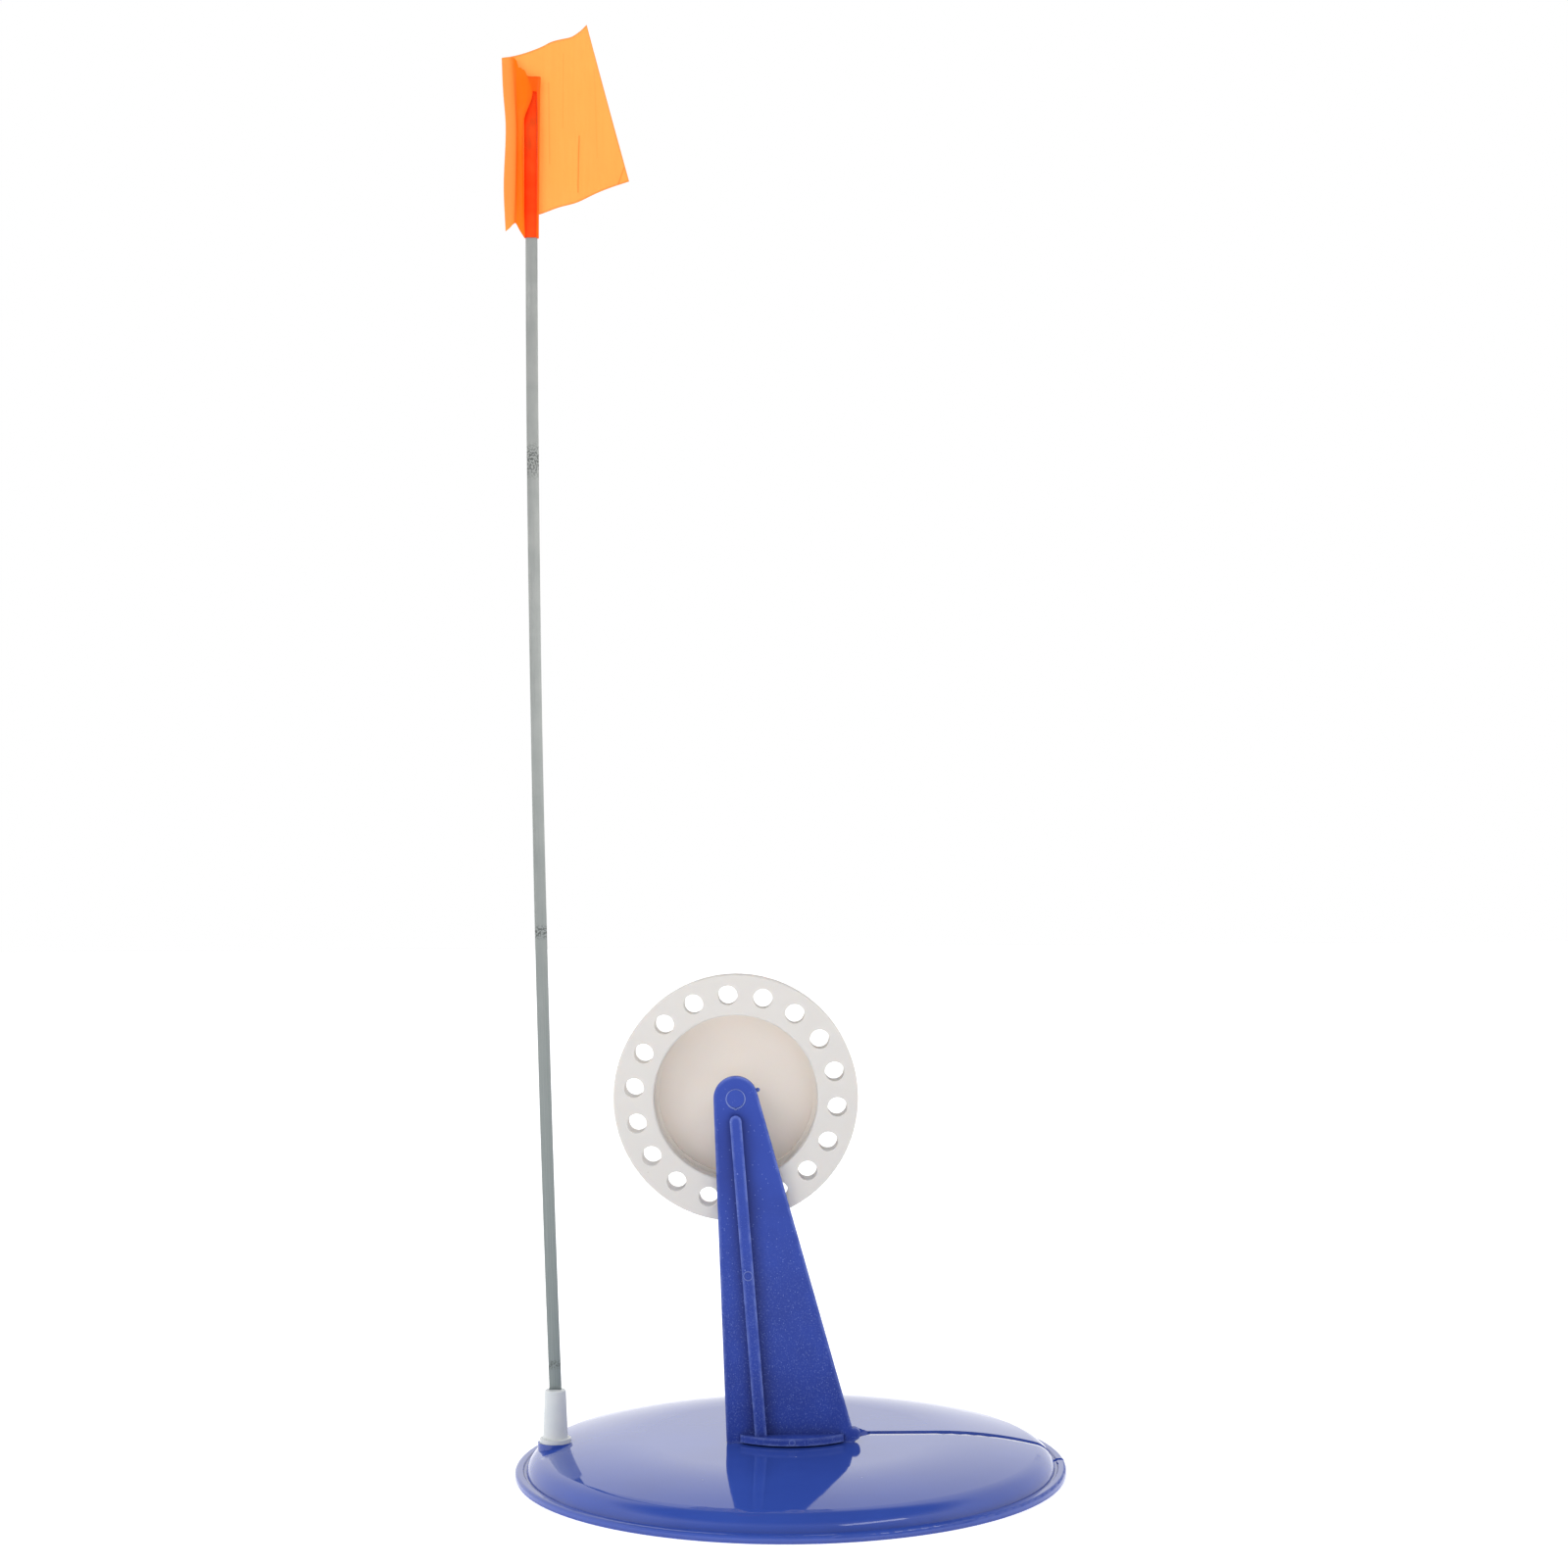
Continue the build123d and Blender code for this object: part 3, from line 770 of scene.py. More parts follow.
@dataclass(frozen=True)
class StudioPaper(Finish):
    """Pale matte paper that the object stands on."""

    name: str = "studio_paper"
    colour: Colour = (0.93, 0.93, 0.93)
    other: Colour = (0.90, 0.90, 0.905)
    glow: float = 0.62

    def fill(self, nodes: Tree, shader: bpy.types.Node) -> None:
        """Set the paper's faint unevenness."""
        patches = EFFECTS.place(nodes, Effect.MOTTLE, self.place(nodes), Scale=3.0)
        tone = nodes.mix(patches, self.colour, self.other)
        nodes.feed(shader, {
            "Base Color": tone,
            "Emission Color": tone,
            "Emission Strength": self.glow,
            "Roughness": 0.9,
            "Specular IOR Level": 0.1,
        })


# ---------------------------------------------------------------- modelling by hand
class Bench:
    """The few modelling steps that the new pieces share."""

    @staticmethod
    def clear() -> None:
        """Leave edit mode and deselect every object."""
        if bpy.context.object is not None and bpy.context.object.mode != "OBJECT":
            bpy.ops.object.mode_set(mode="OBJECT")
        bpy.ops.object.select_all(action="DESELECT")

    @staticmethod
    def started(name: str) -> Piece:
        """Name the primitive just added, and put its place into its mesh.

        Args:
            name: name of the piece.

        Returns:
            The piece.
        """
        piece = bpy.context.object
        piece.name = piece.data.name = name
        bpy.ops.object.transform_apply(location=True, rotation=True, scale=True)
        return piece

    @staticmethod
    def take(piece: Piece) -> None:
        """Make a piece the only selected one, and the active one."""
        Bench.clear()
        piece.select_set(True)
        bpy.context.view_layer.objects.active = piece

    @staticmethod
    def finish(piece: Piece, material: bpy.types.Material, angle: float = 40.0) -> None:
        """Give a piece its material and smooth shading up to an angle.

        Args:
            piece: the piece.
            material: its material.
            angle: edges sharper than this stay sharp, in degrees.
        """
        Bench.take(piece)
        piece.data.materials.clear()
        piece.data.materials.append(material)
        bpy.ops.object.shade_smooth_by_angle(angle=math.radians(angle))
        bpy.ops.object.select_all(action="DESELECT")

    @staticmethod
    def apply_modifiers(piece: Piece) -> None:
        """Apply every modifier of a piece, in order."""
        Bench.take(piece)
        for modifier in list(piece.modifiers):
            bpy.ops.object.modifier_apply(modifier=modifier.name)


def dress(material: bpy.types.Material, *nodes: str) -> None:
    """Give CAD nodes a material.

    Args:
        material: the material.
        nodes: names of the nodes.
    """
    for name in nodes:
        for slot in frame["nodes"][name].material_slots:
            slot.material = material
        LOG.info("%s: %s", name, material.name)


# ---------------------------------------------------------------- sub-assemblies
@dataclass
class Base:
    """The glossy base disc, which is the CAD node in its own finish."""

    def build(self) -> None:
        """Dress the disc."""
        dress(GlossBlue().make(), "base_disc")


@dataclass
class Stand:
    """The stand and its axle, with a thin light ring round the pin's head that paints the highlight on the
    edge of the gap there.

    Attributes:
        rib_mark: the ejector mark on the rib: its place across and up, and its radius, in millimetres.
        bow_mark: the same for the mark on the front of the bow-shaped flange.
        highlight_tube: half the thickness of the ring.
        highlight_room: gap between the ring and the pin's head.
        highlight_set: how far behind the head's face the ring lies.
        drip: how far the ring hangs down at its lowest point.
        drip_steps: half width of the part drawn down in each step, and its share of the drip.
    """

    rib_mark: Place = (-13.46, 65.5, 1.5)
    bow_mark: Place = (0.4, 13.15, 1.0)
    highlight_tube: float = 0.20 * MM
    highlight_room: float = 0.10 * MM
    highlight_set: float = 0.62 * MM
    drip: float = 0.50 * MM
    drip_steps: tuple[tuple[float, float], ...] = ((0.88 * MM, 0.35), (0.448 * MM, 0.65))

    def build(self) -> None:
        """Dress the stand and its pin, and model the light ring that paints the highlight round the pin's
        head.
        """
        marks = tuple(tuple(size * MM for size in mark) for mark in (self.rib_mark, self.bow_mark))
        dress(SpeckledBlue(marks=marks).make(), "stand")
        # The pin's painted edge highlight is a narrower pale line.
        dress(SpeckledBlue(name="pin_blue", colour=(0.040, 0.074, 0.340), edge=3500.0).make(), "axle_pin")
        # A lighter copy of the stand's finish, for the ring of painted highlight round the pin's head.
        light = SpeckledBlue(name="painted_highlight_blue", colour=(0.26, 0.34, 0.68), worn=(0.30, 0.38, 0.70), rough=0.3)
        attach(self.highlight_ring(light.make()), "base")
        dress(PalePlastic().make(), "axle_spacer")
        dress(BrightSteel().make(), "axle_retainer")

    def highlight_ring(self, material: bpy.types.Material) -> Piece:
        """Model the light ring round the pin's head, with a small drip: a painted highlight on the edge of
        the gap round the head.

        Args:
            material: its material.

        Returns:
            The ring.
        """
        low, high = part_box("axle_pin")
        centre = Vector(((low.x + high.x) / 2, low.y + self.highlight_set, (low.z + high.z) / 2))
        radius = (high.x - low.x) / 2 + self.highlight_room
        Bench.clear()
        bpy.ops.mesh.primitive_torus_add(
            location=centre,
            rotation=(math.pi / 2, 0, 0),
            major_radius=radius,
            minor_radius=self.highlight_tube,
            major_segments=72,
            minor_segments=10,
        )
        ring = Bench.started("pin_highlight_ring")
        for reach, share in self.drip_steps:
            for vertex in ring.data.vertices:
                away = vertex.co - centre
                vertex.select = away.z < 0 and abs(away.x) < reach
            bpy.ops.object.mode_set(mode="EDIT")
            bpy.ops.transform.translate(value=(0, 0, -self.drip * share))
            bpy.ops.mesh.select_all(action="DESELECT")
            bpy.ops.object.mode_set(mode="OBJECT")
        Bench.finish(ring, material)
        return ring


@dataclass
class Reel:
    """The two mouldings of the line reel."""

    def build(self) -> None:
        """Dress both mouldings, with the recess warmer than the flange."""
        low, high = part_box("reel_front")
        axle = ((low.x + high.x) / 2, 0.0, (low.z + high.z) / 2)
        dress(MilkPlastic(axle=axle, face_y=low.y).make(), "reel_front", "reel_rear")


@dataclass
class SpringStrip:
    """The steel strip of the flag, in short pieces; the piece round each joint runs through its bending
    place.

    Attributes:
        width: width of the strip.
        thick: its thickness.
        edge: rounding of its long edges.
        step: length of one extrusion.
        tip_corner: how much narrower the far end is than the strip.
        twist: most that the strip is twisted, in degrees.
        twist_height: height of the most twisted place.
        twist_reach: distance over which the twist dies away.
        bends: places of the joints, from the lowest up.
        bodies: the body below the first joint, then the one above each joint.
    """

    width: float = 4.0 * MM
    thick: float = 0.5 * MM
    edge: float = 0.12 * MM
    step: float = 3.0 * MM
    tip_corner: float = 1.2 * MM
    twist: float = 27.0
    twist_height: float = 0.245
    twist_reach: float = 0.085
    bends: list[Vector] = field(default_factory=list)
    bodies: list[str] = field(default_factory=list)

    def build(self) -> None:
        """Model every length of the strip."""
        steel = StripSteel(smudges=((0.307, 0.0075), (0.008, 0.002), (0.150, 0.003))).make()
        joints = [j for j in frame["joints"] if j["name"].startswith("flag_bend")]
        joints.sort(key=lambda j: j["pos_m"][2])
        self.bends = [Vector(j["pos_m"]) for j in joints]
        self.bodies = [joints[0]["parent"]] + [j["child"] for j in joints]
        foot = Vector((self.bends[0].x, 0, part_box("strip_root")[0].z))
        tip = Vector((self.bends[-1].x, 0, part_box(f"strip_{len(self.bends)}")[1].z))
        socket_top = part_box("flag_socket")[1].z
        clamp = Vector((self.bends[0].x, 0, socket_top + 0.1 * MM))
        middles = [clamp] + [(a + b) / 2 for a, b in zip(self.bends, self.bends[1:])]
        middles.append(self.bends[-1].lerp(tip, 0.5))
        travelled = 0.0
        root = self.length("strip_foot", [foot, clamp], steel, -(foot - clamp).length)
        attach(root, self.bodies[0])
        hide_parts("strip_root")
        for number, bend in enumerate(self.bends, start=1):
            start, end = middles[number - 1], middles[number]
            piece = self.length(f"strip_bend_{number}", [start, bend, end], steel, travelled)
            travelled += (bend - start).length + (end - bend).length
            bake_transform(piece)
            if number < len(self.bends):
                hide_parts(f"strip_{number}")
        last = self.length("strip_tip", [middles[-1], tip], steel, travelled, rounded=True)
        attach(last, self.bodies[-1])
        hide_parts(f"strip_{len(self.bends)}")
        LOG.info("strip: %d lengths, %.0f mm above the socket", len(self.bends) + 2, travelled / MM)

    def turn(self, height: float) -> float:
        """Return the twist at a height, in radians."""
        away = (height - self.twist_height) / self.twist_reach
        return math.radians(self.twist) * math.exp(-away * away)

    def length(
        self,
        name: str,
        route: Sequence[Vector],
        material: bpy.types.Material,
        travelled: float,
        rounded: bool = False,
    ) -> Piece:
        """Model one length of strip: a small rounded section, extruded step by step along a route.

        Args:
            name: name of the piece.
            route: points that its middle line follows.
            material: its material.
            travelled: distance from the socket's top to its foot.
            rounded: whether its far end has rounded corners.

        Returns:
            The piece.
        """
        stops: list[Vector] = [route[0]]
        for a, b in zip(route, route[1:]):
            count = max(1, round((b - a).length / self.step))
            stops += [a.lerp(b, (k + 1) / count) for k in range(count)]
        Bench.clear()
        bpy.ops.mesh.primitive_plane_add(size=1.0, location=stops[0])
        piece = bpy.context.object
        piece.scale = (self.width, self.thick, 1.0)
        piece = Bench.started(name)
        bpy.ops.object.mode_set(mode="EDIT")
        bpy.ops.mesh.select_all(action="SELECT")
        bpy.ops.mesh.bevel(offset=self.edge, segments=2, affect="VERTICES")
        turned = self.turn(stops[0].z)
        bpy.ops.transform.rotate(value=-turned, orient_axis="Z", center_override=stops[0])
        for before, after in zip(stops, stops[1:]):
            bpy.ops.mesh.extrude_region_move(TRANSFORM_OT_translate={"value": after - before})
            extra = self.turn(after.z) - turned
            if abs(extra) > 1e-6:
                bpy.ops.transform.rotate(value=-extra, orient_axis="Z", center_override=after)
            turned += extra
        bpy.ops.mesh.select_all(action="SELECT")
        bpy.ops.mesh.normals_make_consistent(inside=False)
        bpy.ops.object.mode_set(mode="OBJECT")
        if rounded:
            self.round_tip(piece, stops[-1])
        self.unroll(piece, stops, travelled)
        Bench.finish(piece, material)
        return piece

    def round_tip(self, piece: Piece, end: Vector) -> None:
        """Draw in the corners of the strip's far end.

        Args:
            piece: the last length.
            end: middle of its far end.
        """
        for vertex in piece.data.vertices:
            if vertex.co.z > end.z - 0.1 * MM:
                vertex.co.x = end.x + (vertex.co.x - end.x) * (1 - self.tip_corner / self.width)

    def unroll(self, piece: Piece, stops: Sequence[Vector], travelled: float) -> None:
        """Give the strip a map in metres: across it, and along it from the socket's top.

        Args:
            piece: the piece.
            stops: points along its middle line.
            travelled: distance from the socket's top to its foot.
        """
        layer = piece.data.uv_layers.active or piece.data.uv_layers.new(name="strip")
        axis = (stops[-1] - stops[0]).normalized()
        for loop in piece.data.loops:
            point = piece.data.vertices[loop.vertex_index].co
            along = (point - stops[0]).dot(axis)
            away = point - (stops[0] + axis * along)
            side = math.copysign(Vector((away.x, away.y)).length, away.x)
            layer.data[loop.index].uv = (side, travelled + along)


@dataclass(frozen=True)
class Fold:
    """One line of the film from its lower edge to its upper edge.

    Attributes:
        points: places along it, in millimetres from the strip's last bend: across, backwards, up.
        painted_ply_depth: how deep the colour is painted, from 0 to 1: deeper for light through several
            layers, darkest as painted shade over the strip.
        torn: how ragged the upper end is, in millimetres.
    """

    points: tuple[Place, ...]
    painted_ply_depth: float = 0.0
    torn: float = 0.0


@dataclass
class Flag:
    """The orange film, one sheet: a broad leaf behind the strip, folded at the left and wrapped round it.

    Attributes:
        leaf: lines of the broad leaf, from its far edge to the fold at the left.
        front: lines of the ply that comes back in front and is torn open over the strip.
        wrap: lines of the ply that goes round the strip and lies tight on its front.
        creases: sharp creases, drawn as painted shade: place across, lean, lower and upper end, strength, in
            the same millimetres.
        tear_from: number of the line of the front ply at the opening's left lip.
        tear_top: height of the opening's upper end.
        across: faces between two lines.
        upright: faces from the lower to the upper edge.
        thick: thickness of the film.
        flat: size of the sheet laid flat; not used.
    """

    leaf: tuple[Fold, ...] = (
        Fold(((32.6, 1.9, 22.4), (25.6, 0.9, 48.6), (18.8, -0.6, 74.4))),
        Fold(((27.8, 1.5, 20.4), (22.0, 0.9, 47.0), (16.5, 0.2, 72.7))),
        Fold(((22.2, 0.9, 17.8), (17.8, 1.1, 45.0), (13.5, 1.2, 71.4))),
        Fold(((15.6, 1.0, 14.8), (12.6, 1.3, 43.0), (9.9, 1.6, 70.8))),
        Fold(((9.1, 1.6, 13.5), (7.7, 1.6, 42.0), (6.6, 1.5, 69.8))),
        Fold(((2.5, 1.3, 10.9), (2.7, 1.3, 40.0), (3.0, 1.3, 67.8))),
        Fold(((-2.3, 1.2, 10.0), (-2.3, 1.2, 38.0), (-2.3, 1.2, 65.8)), 0.02),
        Fold(((-6.2, 1.0, 7.6), (-6.4, 1.0, 36.0), (-6.8, 1.0, 64.6)), 0.08),
    )
    front: tuple[Fold, ...] = (
        Fold(((-8.7, 0.2, 5.0), (-9.3, 0.2, 20.0), (-8.6, 0.2, 40.0),
              (-9.5, 0.2, 53.5), (-9.9, 0.2, 63.9)), 0.22),
        Fold(((-7.0, -0.9, 6.0), (-7.0, -0.9, 20.0), (-6.9, -0.9, 40.0),
              (-7.4, -0.9, 53.5), (-7.6, -0.9, 63.8)), 0.22),
        Fold(((-5.9, -1.3, 7.2), (-5.4, -1.4, 20.0), (-5.1, -1.4, 40.0),
              (-5.9, -1.3, 53.5), (-6.6, -1.1, 63.6)), 0.34),
        Fold(((-5.2, -0.8, 7.4), (-4.8, -0.7, 20.0), (-4.6, -0.7, 40.0),
              (-5.0, -0.8, 53.5), (-5.0, -0.9, 62.9)), 0.62, 0.5),
        Fold(((-4.0, -0.8, 5.2), (-3.9, -0.9, 20.0), (-3.7, -1.0, 40.0),
              (-3.3, -1.0, 53.0), (-4.2, -1.0, 60.9)), 0.55, 0.6),
        Fold(((-2.9, -1.0, 3.4), (-3.2, -1.4, 20.0), (-3.1, -1.5, 40.0),
              (-1.9, -1.2, 53.0), (-1.9, -1.0, 59.0)), 0.60, 0.4),
        Fold(((-2.1, -0.9, 2.6), (-2.4, -1.5, 20.0), (-2.3, -1.6, 42.0),
              (0.6, -1.2, 51.5), (-1.0, -0.9, 57.3)), 0.78),
        Fold(((1.7, -0.6, 2.5), (2.0, -0.8, 20.0), (2.2, -0.9, 42.0),
              (2.0, -1.0, 52.0), (2.2, -0.9, 57.1)), 0.80),
        Fold(((2.25, -0.3, 2.5), (2.5, -0.3, 20.0), (2.75, -0.3, 42.0),
              (2.9, -0.3, 52.0), (3.2, -0.3, 57.1)), 0.66),
    )
    wrap: tuple[Fold, ...] = (
        Fold(((2.2, 0.30, 2.5), (2.3, 0.34, 30.0), (2.5, 0.36, 57.0)), 0.70),
        Fold(((0.0, 0.42, 2.5), (0.0, 0.42, 30.0), (0.0, 0.42, 57.0)), 0.80),
        Fold(((-2.1, 0.34, 2.6), (-2.1, 0.34, 30.0), (-2.1, 0.34, 56.9)), 0.80),
        Fold(((-2.35, 0.0, 2.6), (-2.35, 0.0, 30.0), (-2.3, 0.0, 56.8)), 0.90),
        Fold(((-2.0, -0.36, 2.7), (-2.0, -0.40, 30.0), (-1.9, -0.36, 56.6)), 0.97),
        Fold(((0.0, -0.42, 2.7), (0.0, -0.50, 30.0), (0.0, -0.44, 56.6)), 1.00),
        Fold(((1.8, -0.38, 2.7), (1.9, -0.42, 30.0), (1.9, -0.38, 56.6)), 1.00),
    )
    creases: tuple[Crease, ...] = (
        (15.6, 0.02, 18.0, 37.6, 1.0),
        (6.0, -0.01, 28.0, 56.0, 0.45),
        (10.4, 0.01, 40.0, 66.0, 0.30),
        (29.0, 0.32, 21.2, 27.2, 0.9),
        (-5.1, 0.0, 8.0, 60.0, 0.8),
        (-3.9, 0.0, 8.0, 46.0, 0.6),
        (22.0, -0.03, 30.0, 60.0, 0.20),
    )
    tear_from: int = 6
    tear_top: float = 52.6
    across: int = 5
    upright: int = 64
    thick: float = 0.08 * MM
    flat: tuple[float, float] = (0.0720, 0.0720)

    def build(self) -> None:
        """Model the film and let it ride on the last length of the strip."""
        bends = (j for j in frame["joints"] if j["name"].startswith("flag_bend"))
        bend = max(bends, key=lambda j: j["pos_m"][2])
        middle = Vector(bend["pos_m"])
        creases = tuple(
            (middle.x + across * MM, lean, middle.z + low * MM, middle.z + high * MM, strength)
            for across, lean, low, high, strength in self.creases
        )
        film, area = self.sheet(middle, SignalFilm(creases=creases).make())
        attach(film, bend["child"])
        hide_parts("flag_film")

    def sheet(self, bend: Vector, material: bpy.types.Material) -> tuple[Piece, float]:
        """Model the film as one sheet, give it its thickness, its map and its painted colour depth.

        Args:
            bend: the last bending place of the strip.
            material: the film's material.

        Returns:
            The film and its area laid flat.
        """
        folds = self.leaf + self.front + self.wrap
        torn_at = len(self.leaf) + self.tear_from
        columns = (len(folds) - 1) * self.across + 1
        rows = self.upright + 1
        Bench.clear()
        bpy.ops.mesh.primitive_grid_add(x_subdivisions=columns - 1, y_subdivisions=rows - 1, size=1.0)
        film = bpy.context.object
        film.name = film.data.name = "film"
        mesh = film.data
        place = {name: mesh.attributes.new(name, "FLOAT", "POINT") for name in ("painted_ply_depth", "crease")}
        heights = [0.0] * len(mesh.vertices)
        lines = [0] * len(mesh.vertices)
        for vertex in mesh.vertices:
            column = round((vertex.co.x + 0.5) * (columns - 1))
            row = round((vertex.co.y + 0.5) * (rows - 1))
            lines[vertex.index] = column
            point, painted_ply_depth, crease = self.point(folds, column / self.across, row / self.upright)
            torn = len(self.leaf) * self.across <= column < torn_at * self.across
            edge = column == 0 or row in (0, self.upright) and not torn
            vertex.co = bend + point * MM
            heights[vertex.index] = point.z
            # Painted colour depth of the folds and of the shade over the strip.
            place["painted_ply_depth"].data[vertex.index].value = painted_ply_depth
            # Painted shade of the soft creases, with the same tone along the sheet's edges.
            place["crease"].data[vertex.index].value = max(crease, 0.55 if edge else 0.0)
        bpy.ops.object.mode_set(mode="EDIT")
        bpy.ops.mesh.select_mode(type="FACE")
        bpy.ops.mesh.select_all(action="DESELECT")
        bpy.ops.object.mode_set(mode="OBJECT")
        open_from, open_to = torn_at * self.across, (torn_at + 1) * self.across
        for face in mesh.polygons:
            corners = [lines[v] for v in face.vertices]
            inside = min(corners) >= open_from and max(corners) <= open_to
            face.select = inside and max(heights[v] for v in face.vertices) < self.tear_top
        bpy.ops.object.mode_set(mode="EDIT")
        bpy.ops.mesh.delete(type="FACE")
        bpy.ops.object.mode_set(mode="OBJECT")
        area = sum(face.area for face in mesh.polygons)
        solid = film.modifiers.new("thickness", "SOLIDIFY")
        solid.thickness = self.thick
        solid.offset = 0.0
        Bench.apply_modifiers(film)
        Bench.finish(film, material, 75.0)
        LOG.info("film: %.1f cm2", area * 1e4)
        return film, area

    def point(self, folds: Sequence[Fold], column: float, share: float) -> tuple[Vector, float, float]:
        """Return a point of the film, with its colour depth and crease.

        Args:
            folds: the film's lines.
            column: which line, with the share of the way to the next.
            share: how far up the line the point is.

        Returns:
            The point in millimetres from the last bend, the colour depth and the crease.
        """
        first = min(int(column), len(folds) - 2)
        part = column - first
        near = [folds[min(max(first + k, 0), len(folds) - 1)] for k in (-1, 0, 1, 2)]
        ends = [self.along(fold.points, share) for fold in near]
        spot = self.curve(*ends, part)
        painted_ply_depth = near[1].painted_ply_depth + (near[2].painted_ply_depth - near[1].painted_ply_depth) * part
        torn = near[1].torn + (near[2].torn - near[1].torn) * part
        spot.z += torn * share**12 * noise.noise(Vector((column * 3.7, 0.5, 0.0))) * 2.2
        leaf = max(0.0, min(1.0, (spot.x - 3.0) / 10.0)) if column < len(self.leaf) - 2 else 0.0
        spot.y += leaf * (0.9 * math.sin(spot.z * 0.10 + spot.x * 0.15) + 0.5 * noise.noise(spot * 0.1))
        crease = 0.0
        # Painted shade in soft creases high on the wrap.
        if column > len(self.leaf) + len(self.front) + 3 and spot.z > 30.0:
            crease = 0.9 * max(0.0, noise.noise(Vector((spot.x * 0.7, 1.0, spot.z * 0.25))) + 0.25)
        return spot, painted_ply_depth, crease

    def along(self, points: Sequence[Place], share: float) -> Vector:
        """Return the place at a share of the way up a line.

        Args:
            points: places on the line.
            share: share of its length in height, from 0 to 1.

        Returns:
            The place.
        """
        spots = [Vector(p) for p in points]
        height = spots[0].z + (spots[-1].z - spots[0].z) * share
        for k in range(len(spots) - 1):
            if height <= spots[k + 1].z or k == len(spots) - 2:
                part = (height - spots[k].z) / (spots[k + 1].z - spots[k].z)
                spots = [spots[0] * 2 - spots[1], *spots, spots[-1] * 2 - spots[-2]]
                found = self.curve(*spots[k : k + 4], part)
                found.z = height
                return found
        return spots[-1]

    @staticmethod
    def curve(a: Vector, b: Vector, c: Vector, d: Vector, t: float) -> Vector:
        """Return a place between b and c on a smooth line through a, b, c and d."""
        first, last = (c - a) * 0.5, (d - b) * 0.5
        u = t * t * (3 - 2 * t)
        return b + (c - b) * u + first * t * (1 - t) ** 2 - last * t * t * (1 - t)


@dataclass
class Socket:
    """The pale plug that holds the strip."""

    def build(self) -> None:
        """Dress the socket."""
        dress(PalePlastic(name="socket_plastic").make(), "flag_socket")


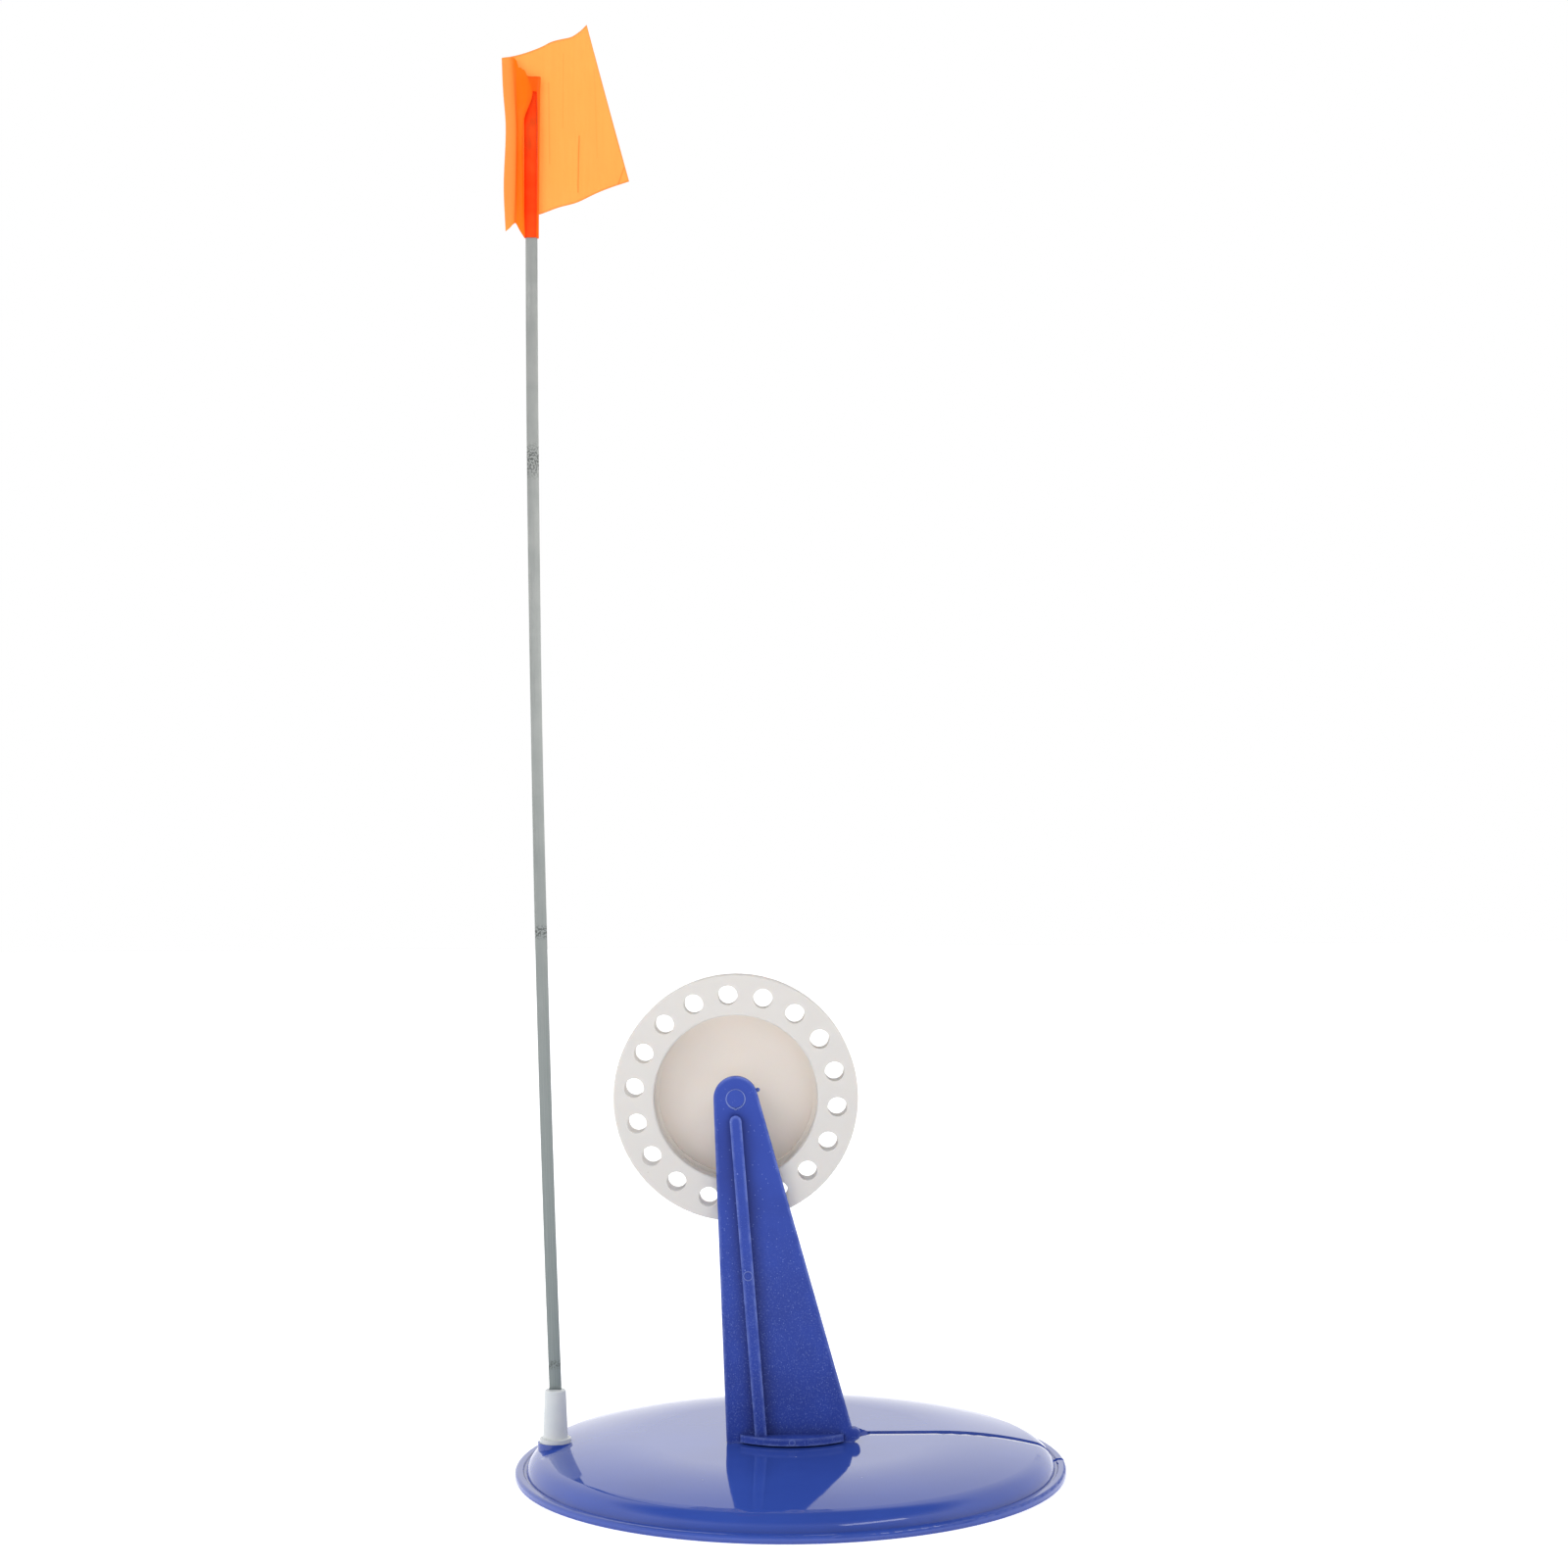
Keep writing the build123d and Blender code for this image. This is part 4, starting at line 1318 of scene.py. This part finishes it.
# ---------------------------------------------------------------- studio
@dataclass
class Studio:
    """Pale floor, soft light and the camera.

    Attributes:
        eye: place of the camera.
        yaw: turn to the right, in radians.
        pitch: tilt up.
        roll: lean.
        lens: focal length in millimetres on a 36 mm sensor.
        floor_size: side of the floor.
        room: light from behind and beside, from in front, and from overhead.
    """

    eye: Place = (-0.00404, -0.79353, 0.19335)
    yaw: float = 0.00416
    pitch: float = 0.03991
    roll: float = -0.00652
    lens: float = 54.9
    floor_size: float = 12.0
    room: tuple[Colour, Colour, Colour] = ((1.3, 1.3, 1.3), (0.45, 0.455, 0.47), (0.12, 0.125, 0.14))

    def build(self) -> None:
        """Set up the whole studio."""
        self.camera()
        self.floor()
        self.sky()
        self.softbox("top_box", (-0.1, -0.7, 1.3), (0.0, 0.0, 0.1), (0.9, 0.6), 4.0)
        self.softbox("left_box", (-1.0, -0.9, 0.7), (0.0, 0.0, 0.2), (0.6, 0.9), 4.2)
        self.softbox("edge_box", (0.43, -0.50, 0.67), (0.0, 0.0, 0.0), (0.40, 0.10), 0.5, mirrored=True)
        bpy.context.scene.view_settings.view_transform = "Standard"

    def camera(self) -> None:
        """Place the camera."""
        data = bpy.data.cameras.new("camera")
        data.sensor_width = 36.0
        data.lens = self.lens
        data.clip_start = 0.01
        ahead = Vector((
            math.sin(self.yaw) * math.cos(self.pitch),
            math.cos(self.yaw) * math.cos(self.pitch),
            math.sin(self.pitch),
        ))
        right = Vector((math.cos(self.yaw), -math.sin(self.yaw), 0.0))
        up = right.cross(ahead)
        leaned = right * math.cos(self.roll) + up * math.sin(self.roll)
        upright = up * math.cos(self.roll) - right * math.sin(self.roll)
        turned = Matrix((leaned, upright, -ahead)).transposed().to_4x4()
        camera = bpy.data.objects.new("camera", data)
        camera.matrix_world = Matrix.Translation(self.eye) @ turned
        bpy.context.collection.objects.link(camera)
        bpy.context.scene.camera = camera

    def floor(self) -> None:
        """Lay the paper floor."""
        Bench.clear()
        bpy.ops.mesh.primitive_plane_add(size=self.floor_size, location=(0, 0, 0))
        floor = Bench.started("floor")
        floor.data.materials.append(StudioPaper().make())

    def sky(self) -> None:
        """Light the surroundings: white behind and beside the object, dimmer in front and overhead."""
        world = bpy.data.worlds.new("studio")
        bpy.context.scene.world = world
        world.use_nodes = True
        tree = Tree(world.node_tree)
        ground = world.node_tree.nodes["Background"]
        x, y, z = tree.split(tree.node("ShaderNodeTexCoord").outputs["Generated"])
        aside = tree.times(tree.times(x, x), 0.25)
        overhead = tree.remap(tree.math("ADD", z, aside), 0.78, 0.93)
        behind, front, above = self.room
        room = tree.mix(overhead, tree.mix(tree.remap(y, -0.15, -0.75), behind, front), above)
        seen = tree.node("ShaderNodeLightPath").outputs["Is Camera Ray"]
        tree.feed(ground, {"Color": tree.mix(seen, room, (1.0, 1.0, 1.0)), "Strength": 1.0})

    def softbox(
        self,
        name: str,
        place: Place,
        aim: Place,
        size: tuple[float, float],
        power: float,
        mirrored: bool = False,
    ) -> None:
        """Hang a soft light.

        Args:
            name: name of the light.
            place: where it hangs.
            aim: what it points at.
            size: its width and height.
            power: its power in watts.
            mirrored: whether glossy faces show it.
        """
        data = bpy.data.lights.new(name, "AREA")
        data.shape = "RECTANGLE"
        data.size, data.size_y = size
        data.energy = power
        light = bpy.data.objects.new(name, data)
        light.visible_glossy = mirrored
        light.location = place
        light.rotation_euler = (Vector(aim) - Vector(place)).to_track_quat("-Z", "Y").to_euler()
        bpy.context.collection.objects.link(light)


def main() -> None:
    """Build the studio and dress every sub-assembly."""
    logging.basicConfig(level=logging.INFO, format="%(name)s: %(message)s")
    Studio().build()
    for part in (Base(), Stand(), Reel(), Socket(), SpringStrip(), Flag()):
        part.build()
        LOG.info("%s done", type(part).__name__)


if __name__ == "__main__":
    main()
